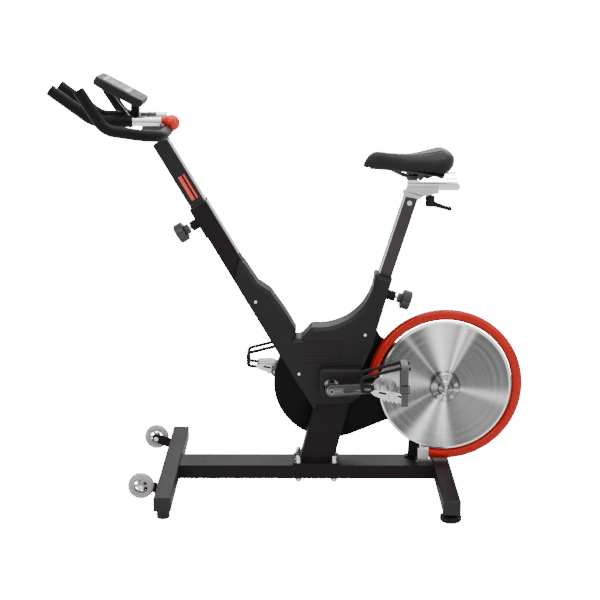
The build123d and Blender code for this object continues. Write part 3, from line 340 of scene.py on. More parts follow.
class Recipe:
    """A Geometry Nodes tree that sets one small shape along the edges of a mesh, end to end."""

    def __init__(self, name, shape):
        self.tree = bpy.data.node_groups.new(name, "GeometryNodeTree")
        self.tree.interface.new_socket("Path", in_out="INPUT", socket_type="NodeSocketGeometry")
        self.labels = {}
        for label, kind in (("Spacing", "Float"), ("Length", "Float"), ("Width", "Float"),
                            ("Height", "Float"), ("Unevenness", "Float"), ("Finish", "Material")):
            socket = self.tree.interface.new_socket(label, in_out="INPUT", socket_type="NodeSocket" + kind)
            self.labels[label] = socket.identifier
        self.tree.interface.new_socket("Mesh", in_out="OUTPUT", socket_type="NodeSocketGeometry")
        entry = self.add("NodeGroupInput")
        line = self.add("GeometryNodeMeshToCurve", {"Mesh": entry.outputs["Path"]})
        steps = self.add("GeometryNodeResampleCurve", {"Curve": line.outputs[0]}, mode="LENGTH")
        self.join(entry.outputs["Spacing"], steps.inputs["Length"])
        tangent = self.add("GeometryNodeInputTangent")
        facing = self.add("FunctionNodeAlignRotationToVector", {"Vector": tangent.outputs[0]}, axis="X")
        sizes = self.add("ShaderNodeCombineXYZ", {0: entry.outputs["Length"], 1: entry.outputs["Width"],
                                                  2: entry.outputs["Height"]})
        least = self.add("ShaderNodeMath", {0: 1.0, 1: entry.outputs["Unevenness"]}, operation="SUBTRACT")
        chance = self.add("FunctionNodeRandomValue", {}, data_type="FLOAT")
        self.join(least.outputs[0], chance.inputs[2])
        chance.inputs[3].default_value = 1.0
        chance.inputs["Seed"].default_value = 7
        scaled = self.add("ShaderNodeVectorMath", {0: sizes.outputs[0]}, operation="SCALE")
        self.join(chance.outputs[1], scaled.inputs["Scale"])
        placed = self.add("GeometryNodeInstanceOnPoints", {
            "Points": steps.outputs[0], "Instance": shape(self),
            "Rotation": facing.outputs[0], "Scale": scaled.outputs[0]})
        whole = self.add("GeometryNodeRealizeInstances", {0: placed.outputs[0]})
        painted = self.add("GeometryNodeSetMaterial", {0: whole.outputs[0]})
        self.join(entry.outputs["Finish"], painted.inputs["Material"])
        leave = self.add("NodeGroupOutput")
        self.join(painted.outputs[0], leave.inputs[0])

    def join(self, source, target):
        self.tree.links.new(source, target)

    def add(self, kind, sockets=None, **settings):
        made = self.tree.nodes.new(kind)
        for key, value in settings.items():
            setattr(made, key, value)
        for key, value in (sockets or {}).items():
            if isinstance(value, bpy.types.NodeSocket):
                self.join(value, made.inputs[key])
            else:
                made.inputs[key].default_value = value
        return made

    def lay(self, name, paths, body, slot, material, smooth=True, **sizes):
        """Follows each list of points, and leaves one plain mesh riding on the body."""
        points, edges = [], []
        for path in paths:
            first = len(points)
            points += [tuple(point) for point in path]
            edges += [(first + i, first + i + 1) for i in range(len(path) - 1)]
        carrier = bpy.data.objects.new(name + "_path", bpy.data.meshes.new(name + "_path"))
        carrier.data.from_pydata(points, edges, [])
        collection.objects.link(carrier)
        made = carrier.modifiers.new("recipe", "NODES")
        made.node_group = self.tree
        for label, value in sizes.items():
            made[self.labels[label.title()]] = value
        made[self.labels["Finish"]] = material
        view = bpy.context.evaluated_depsgraph_get()
        mesh = bpy.data.meshes.new_from_object(carrier.evaluated_get(view), depsgraph=view)
        mesh.name = name
        if smooth:
            mesh.shade_smooth()
        bpy.data.objects.remove(carrier)
        return add_piece(name, mesh, body)


def ripple_shape(recipe):
    ball = recipe.add("GeometryNodeMeshIcoSphere", {"Radius": 0.5, "Subdivisions": 2})
    return ball.outputs[0]


def corner_path(corners, closed=True):
    ring = [Vector(corner) for corner in corners]
    return ring + ring[:1] if closed else ring


weld_ripple = Recipe("weld_ripple", ripple_shape)
beam_low, beam_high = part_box("base_beam")
plate_top = 0.0765
column_front, column_back, column_half = 0.0212, 0.1242, 0.027
plate_weld = corner_path([(column_front, -column_half, plate_top), (column_back, -column_half, plate_top),
                          (column_back, column_half, plate_top), (column_front, column_half, plate_top)])
beam_welds = [corner_path([(x, -0.05, 0.0285), (x, -0.05, 0.0695),
                           (x, 0.05, 0.0695), (x, 0.05, 0.0285)], False)
              for x in (beam_low.x, beam_high.x)]
wheel_welds = [corner_path([(-0.392, y, 0.034), (-0.392, y, 0.064)], False)
               for y in (-0.1955, -0.1895, 0.1895, 0.1955)]
weld_ripple.lay("weld_beads", [plate_weld, *beam_welds, *wheel_welds], "frame", "frame_paint", frame_black,
                spacing=0.0017, length=0.0034, width=0.0052, height=0.0052, unevenness=0.22)


# ---------------------------------------------------------------------------------------------
# Bolts and screws: bright zinc-plated steel, with acorn nuts over the base studs. Fasteners of the
# base, the wheel axles, the casing and the seat post share this plating; the flywheel hub's screws are a darker
# plated steel.
# ---------------------------------------------------------------------------------------------
def plated(name, colour=(0.78, 0.78, 0.79), roughness=0.17, cloudiness=0.16):
    """Bright metal with faint clouds and fine scratches."""
    finish = Finish(name, colour, roughness, 1.0)
    cloud = finish.noise(130.0, 3.0)
    scratch = finish.noise(900.0, 2.0, finish.moved(scale=(1.0, 0.14, 0.5)))
    finish.feed("Roughness", cloud * cloudiness + roughness - 0.06 + scratch * 0.08)
    darker = tuple(channel * 0.8 for channel in colour)
    finish.feed("Base Color", finish.blend(cloud, darker, colour))
    finish.bump(scratch, 0.00002, 0.4)
    return finish.material


zinc_plate = plated("zinc_plate")
chrome_wire = plated("chrome_wire", (0.75, 0.75, 0.76), 0.12, 0.08)
ground_steel = plated("ground_steel", (0.55, 0.55, 0.57), 0.3)
for node in ("frame_bolts", "cover_screws", "seat_post_bolt", "crank_axle", "pedal_spindles"):
    dress(node, zinc_plate)
dress("hub_screws", plated("hub_screw_steel", (0.5, 0.5, 0.51), 0.25))
dress("bearings", ground_steel)
dress("saddle_rails", chrome_wire)


# ---------------------------------------------------------------------------------------------
# Moulded plastic trim: stabiliser plugs, belt guard, pull knobs, toe cages and the seat clamp
# lever. Black nylon or ABS with a spark-eroded texture that breaks the gloss.
# ---------------------------------------------------------------------------------------------
def moulded(name, colour, roughness=0.48, grain=2200.0, depth=0.00006, **steady):
    """Plastic with a fine spark-eroded grain and a cloudy sheen."""
    finish = Finish(name, colour, roughness, 0.0, **steady)
    fine = finish.noise(grain, 3.0, roughness=0.65)
    cloud = finish.noise(14.0, 3.0)
    finish.feed("Roughness", fine * 0.12 + cloud * 0.1 + roughness - 0.11)
    lighter = tuple(channel * 1.5 for channel in colour)
    finish.feed("Base Color", finish.blend(cloud * 0.6 + fine * 0.3, colour, lighter))
    finish.bump(fine, depth, 0.45)
    return finish.material


cap_plastic = moulded("cap_plastic", (0.009, 0.008, 0.009), specular_ior_level=0.22)
guard_plastic = moulded("guard_plastic", (0.002, 0.0017, 0.002), 0.52, specular_ior_level=0.10)
nylon_black = moulded("nylon_black", (0.006, 0.005, 0.0055), 0.4, specular_ior_level=0.12)
dress("stabiliser_caps_and_feet", cap_plastic)
eased("belt_guard", 0.0012, guard_plastic)
eased("crank_pulley", 0.0008, moulded("pulley_plastic", (0.03, 0.03, 0.031)))


def rubber(name, colour=(0.010, 0.0095, 0.0095), roughness=0.62, grain=700.0):
    """Matt black rubber with a slightly dusty bloom."""
    finish = Finish(name, colour, roughness, specular_ior_level=0.10)
    bloom = finish.noise(24.0, 4.0)
    fine = finish.noise(grain, 2.0)
    finish.feed("Roughness", bloom * 0.16 + roughness - 0.08)
    finish.feed("Base Color", finish.blend(bloom * fine, colour, tuple(c * 2.2 + 0.004 for c in colour)))
    finish.bump(fine, 0.0001, 0.4)
    return finish


foot_finish = rubber("foot_rubber", roughness=0.55)
stud = foot_finish.axis("Z").above(0.0192)
foot_finish.feed("Metallic", stud)
foot_finish.feed("Base Color", foot_finish.blend(stud, (0.010, 0.0095, 0.0095), (0.12, 0.12, 0.12)))
for side in ("left", "right"):
    dress(side + "_levelling_foot", foot_finish.material)
dress("drive_belt", rubber("belt_rubber").material)


def pin_and_knob(name, node, slide_joint, collar):
    """Moulded knob on a bright steel plunger: the plunger is bare up to the collar."""
    out = Vector(joints[slide_joint]["axis"])
    finish = Finish(name, (0.012, 0.010, 0.011), 0.4)
    low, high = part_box(node)
    along = finish.node("ShaderNodeVectorMath", {"operation": "DOT_PRODUCT"}, {
        0: finish.place(), 1: tuple(out)})
    bare = 1.0 - Amount(finish, along.outputs["Value"]).above(collar)
    grain = finish.noise(1500.0, 3.0)
    finish.feed("Metallic", bare)
    finish.feed("Base Color", finish.blend(bare, (0.012, 0.0105, 0.0115), (0.75, 0.75, 0.76)))
    finish.feed("Roughness", 0.36 + grain * 0.14 - bare * 0.2)
    finish.bump(grain, 0.00005, 0.4)
    dress(node, finish.material)


MAST_TOP = Vector((-0.386, 0, 1.055))
MAST_UP = Vector(joints["handlebar_height"]["axis"])
MAST_FRONT = Vector(joints["handlebar_pin_pull"]["axis"])
MAST_PIN_DOWN = 0.2736
SEAT_MOUTH = Vector((0.2715, 0, 0.648))
SEAT_UP = Vector(joints["seat_height"]["axis"])
SEAT_BACK = Vector(joints["seat_pin_pull"]["axis"])
SEAT_PIN_UP = -0.0527


def mast_place(down, forward=0.0, side=0.0):
    """A point down the mast from its top, out of its front face and to one side."""
    return MAST_TOP - MAST_UP * down + MAST_FRONT * forward + Vector((0, side, 0))


def seat_place(up_by, back=0.0, side=0.0):
    return SEAT_MOUTH + SEAT_UP * up_by + SEAT_BACK * back + Vector((0, side, 0))


pin_and_knob("handlebar_knob_finish", "handlebar_pull_knob", "handlebar_pin_pull",
             mast_place(MAST_PIN_DOWN).dot(MAST_FRONT) + 0.0615)
pin_and_knob("seat_knob_finish", "seat_pull_knob", "seat_pin_pull",
             seat_place(SEAT_PIN_UP).dot(SEAT_BACK) + 0.0575)


# ---------------------------------------------------------------------------------------------
# Casing: two moulded ABS halves that close over the mast, column and seat tube, screwed together
# from both sides. Fine spark-eroded texture, with seven pressed-in vent lines on each side.
# ---------------------------------------------------------------------------------------------
casing_plastic = moulded("casing_plastic", (0.0115, 0.0098, 0.0106), 0.46, 1600.0, 0.00008,
                        specular_ior_level=0.10)
for node in ("casing_left", "casing_right"):
    eased(node, 0.0008, casing_plastic, segments=2, angle=30)


# ---------------------------------------------------------------------------------------------
# Flywheel: an aluminium disc turned on a lathe, with rays fanning out from its centre painted into its colour
# as highlights; a turned hub is held on with five socket screws, and the bevelled rim is polished bright.
# ---------------------------------------------------------------------------------------------
wheel_low, wheel_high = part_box("flywheel_disc")
WHEEL_CENTRE = (wheel_low + wheel_high) / 2
WHEEL_RADIUS = (wheel_high.x - wheel_low.x) / 2


def turned(name, colour, roughness, fan, rings, rays, smear=1.0):
    """Lathe-turned metal: each fine groove leans the surface in or out along the radius. Bright rays are painted
    highlights in the base colour, and the dark between them is painted shade.
    """
    finish = Finish(name, colour, roughness, 1.0)
    here = finish.moved(shift=(-WHEEL_CENTRE.x, 0, -WHEEL_CENTRE.z))
    x, z = finish.axis("X", here), finish.axis("Z", here)
    radius = (x * x + z * z) ** 0.5
    fine = finish.node("ShaderNodeTexNoise", {"noise_dimensions": "1D"}, {
        "W": radius, "Scale": rings, "Detail": 2.0, "Roughness": 0.8})
    wide = finish.node("ShaderNodeTexNoise", {"noise_dimensions": "1D"}, {
        "W": radius, "Scale": 90.0, "Detail": 2.0})
    lean = (Amount(finish, fine.outputs[0]) - 0.5) * fan
    out = finish.node("ShaderNodeCombineXYZ", {}, {0: x / radius * lean, 1: 0.0, 2: z / radius * lean})
    turn = finish.node("ShaderNodeVectorTransform", {
        "vector_type": "VECTOR", "convert_from": "OBJECT", "convert_to": "WORLD"}, {0: out.outputs[0]})
    plain = finish.node("ShaderNodeNewGeometry")
    leant = finish.node("ShaderNodeVectorMath", {"operation": "ADD"}, {
        0: plain.outputs["Normal"], 1: turn.outputs[0]})
    level = finish.node("ShaderNodeVectorMath", {"operation": "NORMALIZE"}, {0: leant.outputs[0]})
    finish.feed("Normal", level.outputs[0])
    worn = finish.noise(35.0, 3.0)
    finish.feed("Roughness", worn * 0.08 * smear + roughness - 0.04 + Amount(finish, wide.outputs[0]) * 0.06)
    # Painted highlight and shade: a bright ray of colour towards each listed angle, very dark metal between the
    # rays, and a faint random tone along the radius.
    tone_and_painted_rays = Amount(finish, wide.outputs[0]) * 0.10
    for angle, tightness, level in rays:
        towards = math.radians(angle)
        facing = (x / radius) * math.cos(towards) + (z / radius) * math.sin(towards)
        tone_and_painted_rays = tone_and_painted_rays + (facing * facing.above(0.0)) ** tightness * level
    finish.feed("Base Color", finish.blend(tone_and_painted_rays, tuple(channel * 0.085 for channel in colour), colour))
    return finish.material


# Bands of light painted into the turned face and turning with it: angle, tightness and level of each.
RAYS = ((98.0, 60.0, 0.95), (72.5, 420.0, 0.9), (64.0, 700.0, 0.45), (84.0, 160.0, 0.35),
        (-92.0, 110.0, 0.95), (-118.0, 130.0, 0.85), (-105.0, 40.0, 0.25), (-12.0, 150.0, 0.42),
        (171.0, 34.0, 0.38), (128.0, 900.0, 0.25), (-40.0, 5.0, 0.10), (-150.0, 600.0, 0.18))
dress("flywheel_disc", turned("turned_disc", (0.95, 0.95, 0.96), 0.22, 1.2, 5200.0, RAYS))
dress("flywheel_hub", turned("turned_hub", (0.80, 0.80, 0.81), 0.28, 0.5, 2600.0, RAYS))


def lathe(name, profile, centre, steps=192):
    """Turns a profile of (radius, y) points round an axis along Y into a closed mesh."""
    shape = bmesh.new()
    rings = []
    for radius, y in profile:
        if radius < 1e-6:
            rings.append([shape.verts.new((centre.x, y, centre.z))])
            continue
        ring = []
        for step in range(steps):
            turn = 2 * math.pi * step / steps
            x, z = centre.x + radius * math.cos(turn), centre.z + radius * math.sin(turn)
            ring.append(shape.verts.new((x, y, z)))
        rings.append(ring)
    pairs = list(zip(rings, rings[1:]))
    if len(rings[0]) > 1 and len(rings[-1]) > 1:
        pairs.append((rings[-1], rings[0]))
    for one, two in pairs:
        for step in range(steps):
            after = (step + 1) % steps
            corners = [one[step % len(one)], one[after % len(one)],
                       two[after % len(two)], two[step % len(two)]]
            corners = [corner for index, corner in enumerate(corners) if corner not in corners[:index]]
            if len(corners) > 2:
                shape.faces.new(corners)
    return finished_mesh(name, shape)


def finished_mesh(name, shape, angle=35):
    """Closes a bmesh off as a mesh with outward faces and its hard edges kept."""
    bmesh.ops.recalc_face_normals(shape, faces=shape.faces)
    mesh = bpy.data.meshes.new(name)
    shape.to_mesh(mesh)
    shape.free()
    mesh.shade_smooth()
    mesh.set_sharp_from_angle(angle=math.radians(angle))
    return mesh


bright_rim = plated("bright_rim", (0.86, 0.86, 0.87), 0.14, 0.08)
rim_face = wheel_low.y - 0.0004
rim_profile = [(WHEEL_RADIUS - 0.0075, rim_face + 0.0012), (WHEEL_RADIUS - 0.0068, rim_face),
               (WHEEL_RADIUS - 0.0022, rim_face), (WHEEL_RADIUS + 0.0004, rim_face + 0.0026),
               (WHEEL_RADIUS + 0.0004, rim_face + 0.006), (WHEEL_RADIUS - 0.004, rim_face + 0.006)]
add_piece("flywheel_bright_rim", lathe("flywheel_bright_rim", rim_profile, WHEEL_CENTRE), "flywheel",
          bright_rim)
dress("magnet_carrier", plated("magnet_steel", (0.32, 0.32, 0.34), 0.35))


# ---------------------------------------------------------------------------------------------
# Guard ring: one steel tube rolled round the flywheel, gloss red, closed by welded end plugs and
# held in a cast clamp on the beam.
# ---------------------------------------------------------------------------------------------
ring_paint = Finish("ring_red", (0.35, 0.007, 0.003), 0.30, coat_weight=0.12, coat_roughness=0.10,
                    specular_ior_level=0.12)
flake = ring_paint.noise(60.0, 3.0)
orange_peel = ring_paint.noise(420.0, 2.0)
ring_paint.feed("Roughness", flake * 0.1 + 0.2)
ring_paint.feed("Base Color", ring_paint.blend(flake, (0.29, 0.005, 0.0025), (0.39, 0.009, 0.004)))
ring_paint.bump(orange_peel, 0.00008, 0.35)


def swollen(node, by, material):
    """The part a little fatter all over, by a thickness of paint or dipped coating."""
    mesh = merged_copy(node)
    shape = bmesh.new()
    shape.from_mesh(mesh)
    shape.normal_update()
    moves = [(vertex, vertex.normal.copy()) for vertex in shape.verts]
    for vertex, out in moves:
        vertex.co += out * by
    shape.to_mesh(mesh)
    shape.free()
    mesh.shade_smooth()
    mesh.set_sharp_from_angle(angle=math.radians(50))
    piece = add_piece(node + "_coated", mesh, BODY_OF[node], material)
    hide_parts(node)


swollen("guard_ring", 0.0034, ring_paint.material)


def cast(name, colour=(0.68, 0.68, 0.69), roughness=0.3, depth=0.00012):
    """Cast and tumbled aluminium: bright, with a soft uneven skin."""
    finish = Finish(name, colour, roughness, 1.0)
    skin = finish.noise(260.0, 4.0, roughness=0.6)
    cloud = finish.noise(40.0, 3.0)
    finish.feed("Roughness", skin * 0.14 + cloud * 0.1 + roughness - 0.12)
    finish.feed("Base Color", finish.blend(cloud * 0.5 + skin * 0.5, tuple(c * 0.78 for c in colour), colour))
    finish.bump(skin, depth, 0.4)
    return finish.material


satin_cast = cast("satin_cast")
eased("ring_clamp", 0.0008, satin_cast)


# ---------------------------------------------------------------------------------------------
# Cranks: forged steel arms with a dark plated finish, pressed on the axle's tapers. The edges are
# rounded by the forging die, and their colour is lighter than the flats.
# ---------------------------------------------------------------------------------------------
def forged(name, colour=(0.035, 0.034, 0.036), roughness=0.34):
    finish = Finish(name, colour, roughness, 0.75)
    skin = finish.noise(190.0, 3.0)
    wear = finish.node("ShaderNodeNewGeometry").outputs["Pointiness"]
    # The colour is made lighter where the surface is most convex, along the edges.
    edges = finish.ramp(wear, ((0.515, 0.0), (0.56, 1.0)))
    finish.feed("Base Color", finish.blend(edges * 0.6, colour, (0.30, 0.30, 0.31)))
    finish.feed("Roughness", skin * 0.16 + roughness - 0.08)
    finish.bump(skin, 0.0001, 0.35)
    return finish.material


crank_steel = forged("crank_steel")
dress("crank_axle", crank_steel)
for node in ("left_crank", "right_crank"):
    eased(node, 0.0018, crank_steel, segments=3, angle=30)


# ---------------------------------------------------------------------------------------------
# Pedals: cast and tumbled aluminium cages. Two side walls with windows and a toothed lower edge
# join at nose and tail round the axle barrel; the inner wall carries a raised, ribbed kick plate.
# ---------------------------------------------------------------------------------------------
def prism(shape, outline, y0, y1):
    """A flat plate from its side outline in X and Z."""
    near = [shape.verts.new((x, y0, z)) for x, z in outline]
    far = [shape.verts.new((x, y1, z)) for x, z in outline]
    shape.faces.new(near)
    shape.faces.new(far[::-1])
    for index in range(len(outline)):
        after = (index + 1) % len(outline)
        shape.faces.new((near[after], near[index], far[index], far[after]))


def barrel(shape, start, end, radius, end_radius=None, sides=32):
    """A round bar between two points."""
    start, end = Vector(start), Vector(end)
    turn = (end - start).to_track_quat("Z", "Y").to_matrix().to_4x4()
    bmesh.ops.create_cone(shape, cap_ends=True, segments=sides, radius1=radius,
                          radius2=radius if end_radius is None else end_radius,
                          depth=(end - start).length, matrix=Matrix.Translation((start + end) / 2) @ turn)


def rounded(name, shape, body, material, width, replaced=(), segments=2, angle=35):
    """A finished piece whose edges are rounded over."""
    piece = add_piece(name, finished_mesh(name, shape, angle), body, material)
    edge = piece.modifiers.new("rounded_edges", "BEVEL")
    edge.width = width
    edge.segments = segments
    edge.limit_method = "ANGLE"
    edge.angle_limit = math.radians(angle)
    edge.harden_normals = True
    if replaced:
        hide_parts(*replaced)
    return piece


PEDAL_TILT = 12.0
PEDAL_HALF = 0.0355
WALL = 0.0045
pedal_alloy = cast("pedal_alloy", (0.66, 0.66, 0.67), 0.24, 0.0002)
wall_outline = [(-0.062, -0.002), (-0.052, 0.008), (-0.030, 0.013), (0.030, 0.013), (0.044, 0.009),
                (0.046, -0.006), (0.036, -0.013), (0.030, -0.019), (0.024, -0.014), (0.018, -0.020),
                (0.012, -0.014), (0.006, -0.020), (0.0, -0.014), (-0.006, -0.020), (-0.012, -0.014),
                (-0.018, -0.019), (-0.026, -0.013), (-0.048, -0.010)]
kick_outline = [(-0.054, 0.006), (-0.050, 0.019), (-0.040, 0.029), (-0.022, 0.034), (0.0, 0.031),
                (0.012, 0.022), (0.018, 0.010)]


def pedal_frame(side):
    """Where a pedal sits: its middle, tipped nose up."""
    middle = sum(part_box(side + "_pedal"), Vector()) / 2
    spindle = joints[side + "_pedal_spin"]["pos_m"]
    tip = Matrix.Rotation(math.radians(PEDAL_TILT), 4, "Y")
    return Matrix.Translation((spindle[0], middle.y, spindle[2])) @ tip


def make_pedal(side, inward):
    """inward is +1 where the bike lies towards +Y of this pedal, and -1 where it lies towards -Y."""
    shape = bmesh.new()
    for edge in (-1, 1):
        y0, y1 = sorted((edge * PEDAL_HALF, edge * (PEDAL_HALF - WALL)))
        prism(shape, wall_outline, y0, y1)
    kick = sorted((inward * (PEDAL_HALF - WALL), inward * (PEDAL_HALF - WALL - 0.004)))
    prism(shape, kick_outline, *kick)
    for share in range(5):
        x = -0.044 + 0.0125 * share
        rib = sorted((inward * (PEDAL_HALF - WALL - 0.004), inward * (PEDAL_HALF - WALL - 0.009)))
        foot, crest = 0.0015, 0.0008
        prism(shape, [(x - foot, 0.008), (x - crest, 0.027), (x + crest, 0.027), (x + foot, 0.008)], *rib)
    inner = PEDAL_HALF - WALL
    for outline in ([(-0.060, -0.003), (-0.052, 0.007), (-0.044, 0.007), (-0.046, -0.009), (-0.054, -0.008)],
                    [(0.034, -0.011), (0.036, 0.009), (0.043, 0.008), (0.044, -0.006)],
                    [(-0.019, -0.009), (-0.019, 0.010), (-0.014, 0.010), (-0.014, -0.009)],
                    [(0.014, -0.009), (0.014, 0.010), (0.019, 0.010), (0.019, -0.009)]):
        prism(shape, outline, -inner, inner)
    for x in (-0.034, 0.027):
        barrel(shape, (x, -inner, 0.004), (x, inner, 0.004), 0.0032, sides=16)
    barrel(shape, (0, -PEDAL_HALF, 0), (0, PEDAL_HALF, 0), 0.0125)
    barrel(shape, (0, -inward * (PEDAL_HALF + 0.001), 0), (0, -inward * (PEDAL_HALF - 0.004), 0), 0.0095)
    shape.transform(pedal_frame(side))
    rounded(side + "_pedal_cast", shape, side + "_pedal", pedal_alloy, 0.0011,
            (side + "_pedal",))
    # Painted shade: the walls are not cut through; thin black plates on their outer faces stand for the shade seen
    # through the windows.
    window = bmesh.new()
    for edge in (-1, 1):
        y0, y1 = sorted((edge * (PEDAL_HALF + 0.0003), edge * (PEDAL_HALF - 0.001)))
        prism(window, [(-0.040, 0.0005), (-0.038, 0.0065), (-0.017, 0.0065), (-0.016, 0.0005)], y0, y1)
        prism(window, [(0.016, 0.0005), (0.017, 0.006), (0.030, 0.006), (0.031, 0.0005)], y0, y1)
    window.transform(pedal_frame(side))
    rounded(side + "_pedal_windows", window, side + "_pedal", nylon_black, 0.0003)


make_pedal("left", 1)
make_pedal("right", -1)


for side in ("left", "right"):
    swollen(side + "_toe_cage", 0.0015, nylon_black)


def pin_shape(recipe):
    pin = recipe.add("GeometryNodeMeshCone", {
        "Vertices": 10, "Radius Top": 0.28, "Radius Bottom": 0.5, "Depth": 1.0})
    return pin.outputs[0]


grip_pin = Recipe("grip_pin", pin_shape)
for side in ("left", "right"):
    spot = pedal_frame(side)
    rows = [[spot @ Vector((-0.046, y, 0.0148)), spot @ Vector((0.034, y, 0.0148))]
            for y in (-PEDAL_HALF + 0.0022, PEDAL_HALF - 0.0022)]
    grip_pin.lay(side + "_pedal_grip_pins", rows, side + "_pedal", "pedal_alloy", pedal_alloy, smooth=False,
                 spacing=0.0098, length=0.0034, width=0.0034, height=0.0034, unevenness=0.0)


# ---------------------------------------------------------------------------------------------
# Toe straps: woven nylon webbing 20 mm wide, looped round pedal and toe cage, upright, with a
# moulded nylon buckle on the outside. The weave is ribs of yarn across the band.
# ---------------------------------------------------------------------------------------------
webbing = Finish("strap_webbing", (0.018, 0.017, 0.018), 0.6, sheen_weight=0.35, sheen_roughness=0.5)
rib = (webbing.axis("Z") * 3300.0).wave() * (webbing.axis("X") * 2600.0).wave()
fuzz = webbing.noise(1500.0, 2.0)
webbing.feed("Base Color", webbing.blend(rib * 0.5 + 0.5, (0.012, 0.011, 0.012), (0.045, 0.042, 0.044)))
webbing.feed("Roughness", fuzz * 0.2 + 0.5)
webbing.bump(rib + fuzz * 0.3, 0.0003, 0.6)

STRAP_HALF_WIDTH, STRAP_THICKNESS = 0.010, 0.0018


def band(shape, centres, width_axis, half_width, thickness, closed=True):
    """A flat band of even thickness along a line of points, lying square to width_axis."""
    width_axis = Vector(width_axis)
    count = len(centres)
    rings = []
    for index, point in enumerate(centres):
        before = centres[(index - 1) % count] if closed else centres[max(index - 1, 0)]
        after = centres[(index + 1) % count] if closed else centres[min(index + 1, count - 1)]
        out = (after - before).cross(width_axis).normalized() * thickness / 2
        rings.append([shape.verts.new(point + width_axis * half_width * a + out * b)
                      for a, b in ((-1, -1), (-0.94, 1), (0.94, 1), (1, -1))])
    last = count if closed else count - 1
    for index in range(last):
        one, two = rings[index], rings[(index + 1) % count]
        for corner in range(4):
            after = (corner + 1) % 4
            shape.faces.new((one[corner], one[after], two[after], two[corner]))
    if not closed:
        shape.faces.new(rings[0])
        shape.faces.new(rings[-1][::-1])


def strap_loop(half_y, low_z, high_z, corner, steps=8):
    """The loop's line in Y and Z: a tall rounded rectangle."""
    line = []
    for cy, cz, start in ((half_y - corner, high_z - corner, 0), (-half_y + corner, high_z - corner, 90),
                          (-half_y + corner, low_z + corner, 180), (half_y - corner, low_z + corner, 270)):
        for step in range(steps + 1):
            turn = math.radians(start + 90 * step / steps)
            line.append(Vector((0, cy + corner * math.cos(turn), cz + corner * math.sin(turn))))
    return line


for side, outward in (("left", -1), ("right", 1)):
    low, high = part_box(side + "_strap")
    spot = (low + high) / 2
    shape = bmesh.new()
    line = strap_loop(0.0398, low.z - spot.z + 0.002, high.z - spot.z - 0.001, 0.014)
    loop = [point + spot for point in line]
    band(shape, loop, (1, 0, 0), STRAP_HALF_WIDTH, STRAP_THICKNESS)
    tail = [spot + Vector((0, outward * (0.0412 + 0.0012 * step), -0.012 - 0.011 * step))
            for step in range(5)]
    band(shape, tail, (1, 0, 0), STRAP_HALF_WIDTH * 0.98, STRAP_THICKNESS, closed=False)
    piece = add_piece(side + "_toe_strap", finished_mesh(side + "_toe_strap", shape, 50), side + "_pedal",
                      webbing.material)
    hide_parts(side + "_strap")
    buckle = bmesh.new()
    face = spot.y + outward * 0.0415
    for z in (0.004, -0.018):
        barrel(buckle, (spot.x - 0.0125, face, spot.z + z), (spot.x + 0.0125, face, spot.z + z),
               0.0016, sides=16)
    for x in (-0.012, 0.012):
        barrel(buckle, (spot.x + x, face, spot.z - 0.019), (spot.x + x, face, spot.z + 0.005),
               0.0014, sides=16)
    rounded(side + "_strap_buckle", buckle, side + "_pedal", nylon_black, 0.0003)


# ---------------------------------------------------------------------------------------------
# Transport wheels: smoky see-through urethane tyres cast round a spoked nylon core.
# ---------------------------------------------------------------------------------------------
AXLE = Vector(joints["left_wheel_spin"]["pos_m"])
urethane = Finish("wheel_urethane", (0.20, 0.175, 0.18), 0.22, transmission_weight=0.35, ior=1.5)
wheel_x, wheel_z = urethane.axis("X") - AXLE.x, urethane.axis("Z") - AXLE.z
from_axle = (wheel_x * wheel_x + wheel_z * wheel_z) ** 0.5
core = 1.0 - from_axle.above(0.0249)
swirl = urethane.noise(90.0, 4.0, roughness=0.7)
speckle = urethane.noise(420.0, 2.0)
tyre_tint = urethane.blend(swirl * speckle * 2.2, (0.07, 0.055, 0.06), (0.62, 0.56, 0.57))
tint = urethane.node("ShaderNodeMix", {"data_type": "RGBA"}, {0: core, 6: tyre_tint})
tint.inputs[7].default_value = (0.40, 0.38, 0.39, 1.0)
urethane.feed("Base Color", tint.outputs[2])
urethane.feed("Roughness", swirl * 0.2 + 0.12)
urethane.bump(speckle, 0.0002, 0.5)
for side in ("left", "right"):
    dress(side + "_transport_wheel", urethane.material)


# ---------------------------------------------------------------------------------------------
# Handlebar post and mast: anodised aluminium post in a painted steel mast. A brushed flat bar is
# inlaid down the back of both, and a plain red band is wrapped round each side of the post.
# ---------------------------------------------------------------------------------------------
def anodised(name, colour, roughness=0.36, along=(1.0, 1.0, 0.05)):
    """Satin anodising with drawing lines along the length."""
    finish = Finish(name, colour, roughness, 0.55, specular_ior_level=0.3)
    lines = finish.noise(1600.0, 2.0, finish.moved(scale=along))
    cloud = finish.noise(12.0, 3.0)
    finish.feed("Roughness", lines * 0.12 + cloud * 0.08 + roughness - 0.1)
    finish.feed("Base Color", finish.blend(lines, colour, tuple(c * 1.35 for c in colour)))
    finish.bump(lines, 0.00003, 0.3)
    return finish.material


def brushed(name, colour=(0.80, 0.80, 0.81), roughness=0.28, along=(0.05, 1.0, 0.05)):
    finish = Finish(name, colour, roughness, 1.0)
    lines = finish.noise(2400.0, 2.0, finish.moved(scale=along))
    finish.feed("Roughness", lines * 0.2 + roughness - 0.1)
    finish.feed("Base Color", finish.blend(lines, tuple(c * 0.86 for c in colour), colour))
    finish.bump(lines, 0.00003, 0.4)
    return finish.material


dress("handlebar_post", anodised("post_black", (0.014, 0.0115, 0.0125)))
strip_brushed = brushed("strip_brushed")
dress("height_scale_strip", strip_brushed)


def slanted_plate(shape, down0, down1, forward0, forward1, side0, side1):
    """A flat bar lying along the mast."""
    corners = [mast_place(down, forward) for down, forward in
               ((down0, forward0), (down0, forward1), (down1, forward1), (down1, forward0))]
    prism(shape, [(corner.x, corner.z) for corner in corners], side0, side1)


